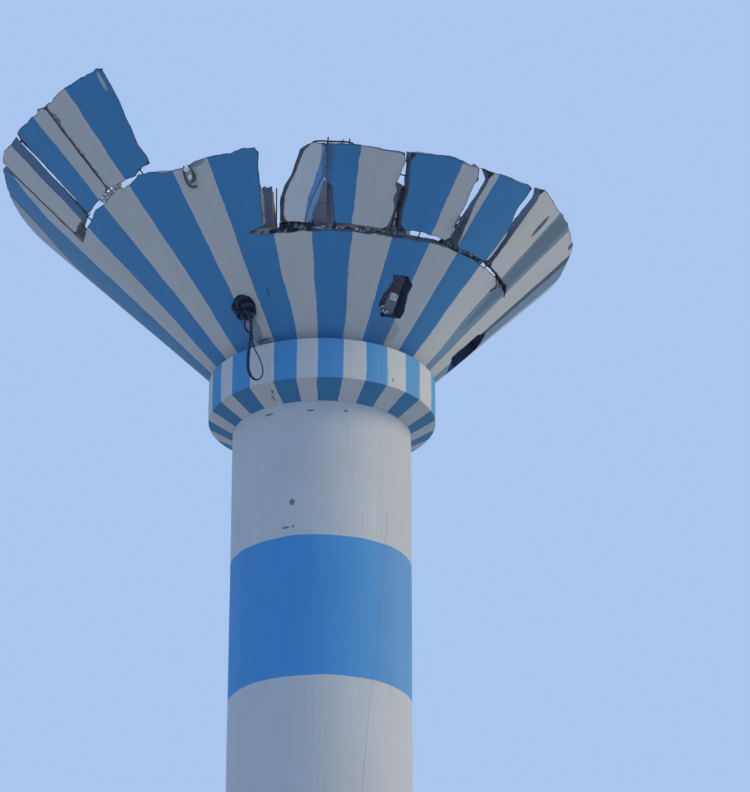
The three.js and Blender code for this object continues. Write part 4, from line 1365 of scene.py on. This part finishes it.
# A shackle and its hook, left hanging over the head of the left wall: bent
# galvanised steel rod, with two round plates where it bears on the wall, which
# are painted near-white as a painted highlight.
HOOK = [
    (-34.3, 3.236), (-34.3, 3.225), (-34.76, 3.18), (-35.06, 3.11), (-34.86, 3.06), (-34.03, 3.03),
    (-32.93, 3.03),
]
BOW = [(-33.1, 3.236), (-33.1, 3.225), (-32.6, 3.19), (-32.42, 3.13), (-32.97, 3.09), (-33.98, 3.08)]
PLATES = [(-33.64, 3.21), (-33.38, 3.13)]
ROD_R = 0.015
ROD_OUT = 0.025
OVER_HEAD_R = 3.23
PLATE_R = 0.034
PLATE_THICK = Vector((-0.006, -0.012, -0.012))
ZINC_DARK = (0.03, 0.035, 0.05, 1)
ZINC_PALE = (0.17, 0.18, 0.20, 1)
GLINT_WHITE = (0.85, 0.87, 0.9, 1)
GLINT_AT, GLINT_SIZE, GLINT_R = (-33.5, 21.88), (0.09, 0.16), 3.17
steel, galvanised_shader, galvanised_place = new_finish("galvanised_steel")
zinc = speckle(galvanised_place, 40, 5, 0.7)
# A painted highlight: near-white over the plates.
glint = mark(azimuth_of(galvanised_place), height_of(galvanised_place), GLINT_AT, GLINT_SIZE, GLINT_R)
zinc_tone = blend(glint, blend(zinc, ZINC_DARK, ZINC_PALE), GLINT_WHITE)
plug(galvanised_shader, Base_Color=zinc_tone, Roughness=0.45 + zinc * 0.3, Normal=bump(zinc, 0.003))
galvanised_shader.inputs["Metallic"].default_value = 0.4
shackle = bmesh.new()
for places in (HOOK, BOW):
    rod = [(azimuth, radius, 0, ROD_OUT if radius < OVER_HEAD_R else 0.0) for azimuth, radius in places]
    bent_bar(shackle, rod, ROD_R)
for azimuth, radius in PLATES:
    plate = in_wall(azimuth, radius, 0, 0.03)
    add_tube(shackle, [plate, plate + PLATE_THICK], PLATE_R, 12)
add_piece("edge_shackle", shackle, [steel], "rusty_bars")

# One upright bar of the stub, which still stands in the slot of its broken head
# where the concrete round it has come away. The same steel as the others.
STUB_BAR_AZIMUTH = -34.2
stub_bars = bmesh.new()
bar_foot = polar(STUB_BAR_AZIMUTH, SHAFT_R - 0.07, SLOT_FLOOR - 0.1)
bar_top = polar(STUB_BAR_AZIMUTH + 0.4, SHAFT_R - 0.05, STUB_TOP)
add_tube(stub_bars, through([bar_foot, (bar_foot + bar_top) / 2, bar_top], 4), BAR_R, 6)
add_piece("stub_bars", stub_bars, [rust], "rusty_bars")
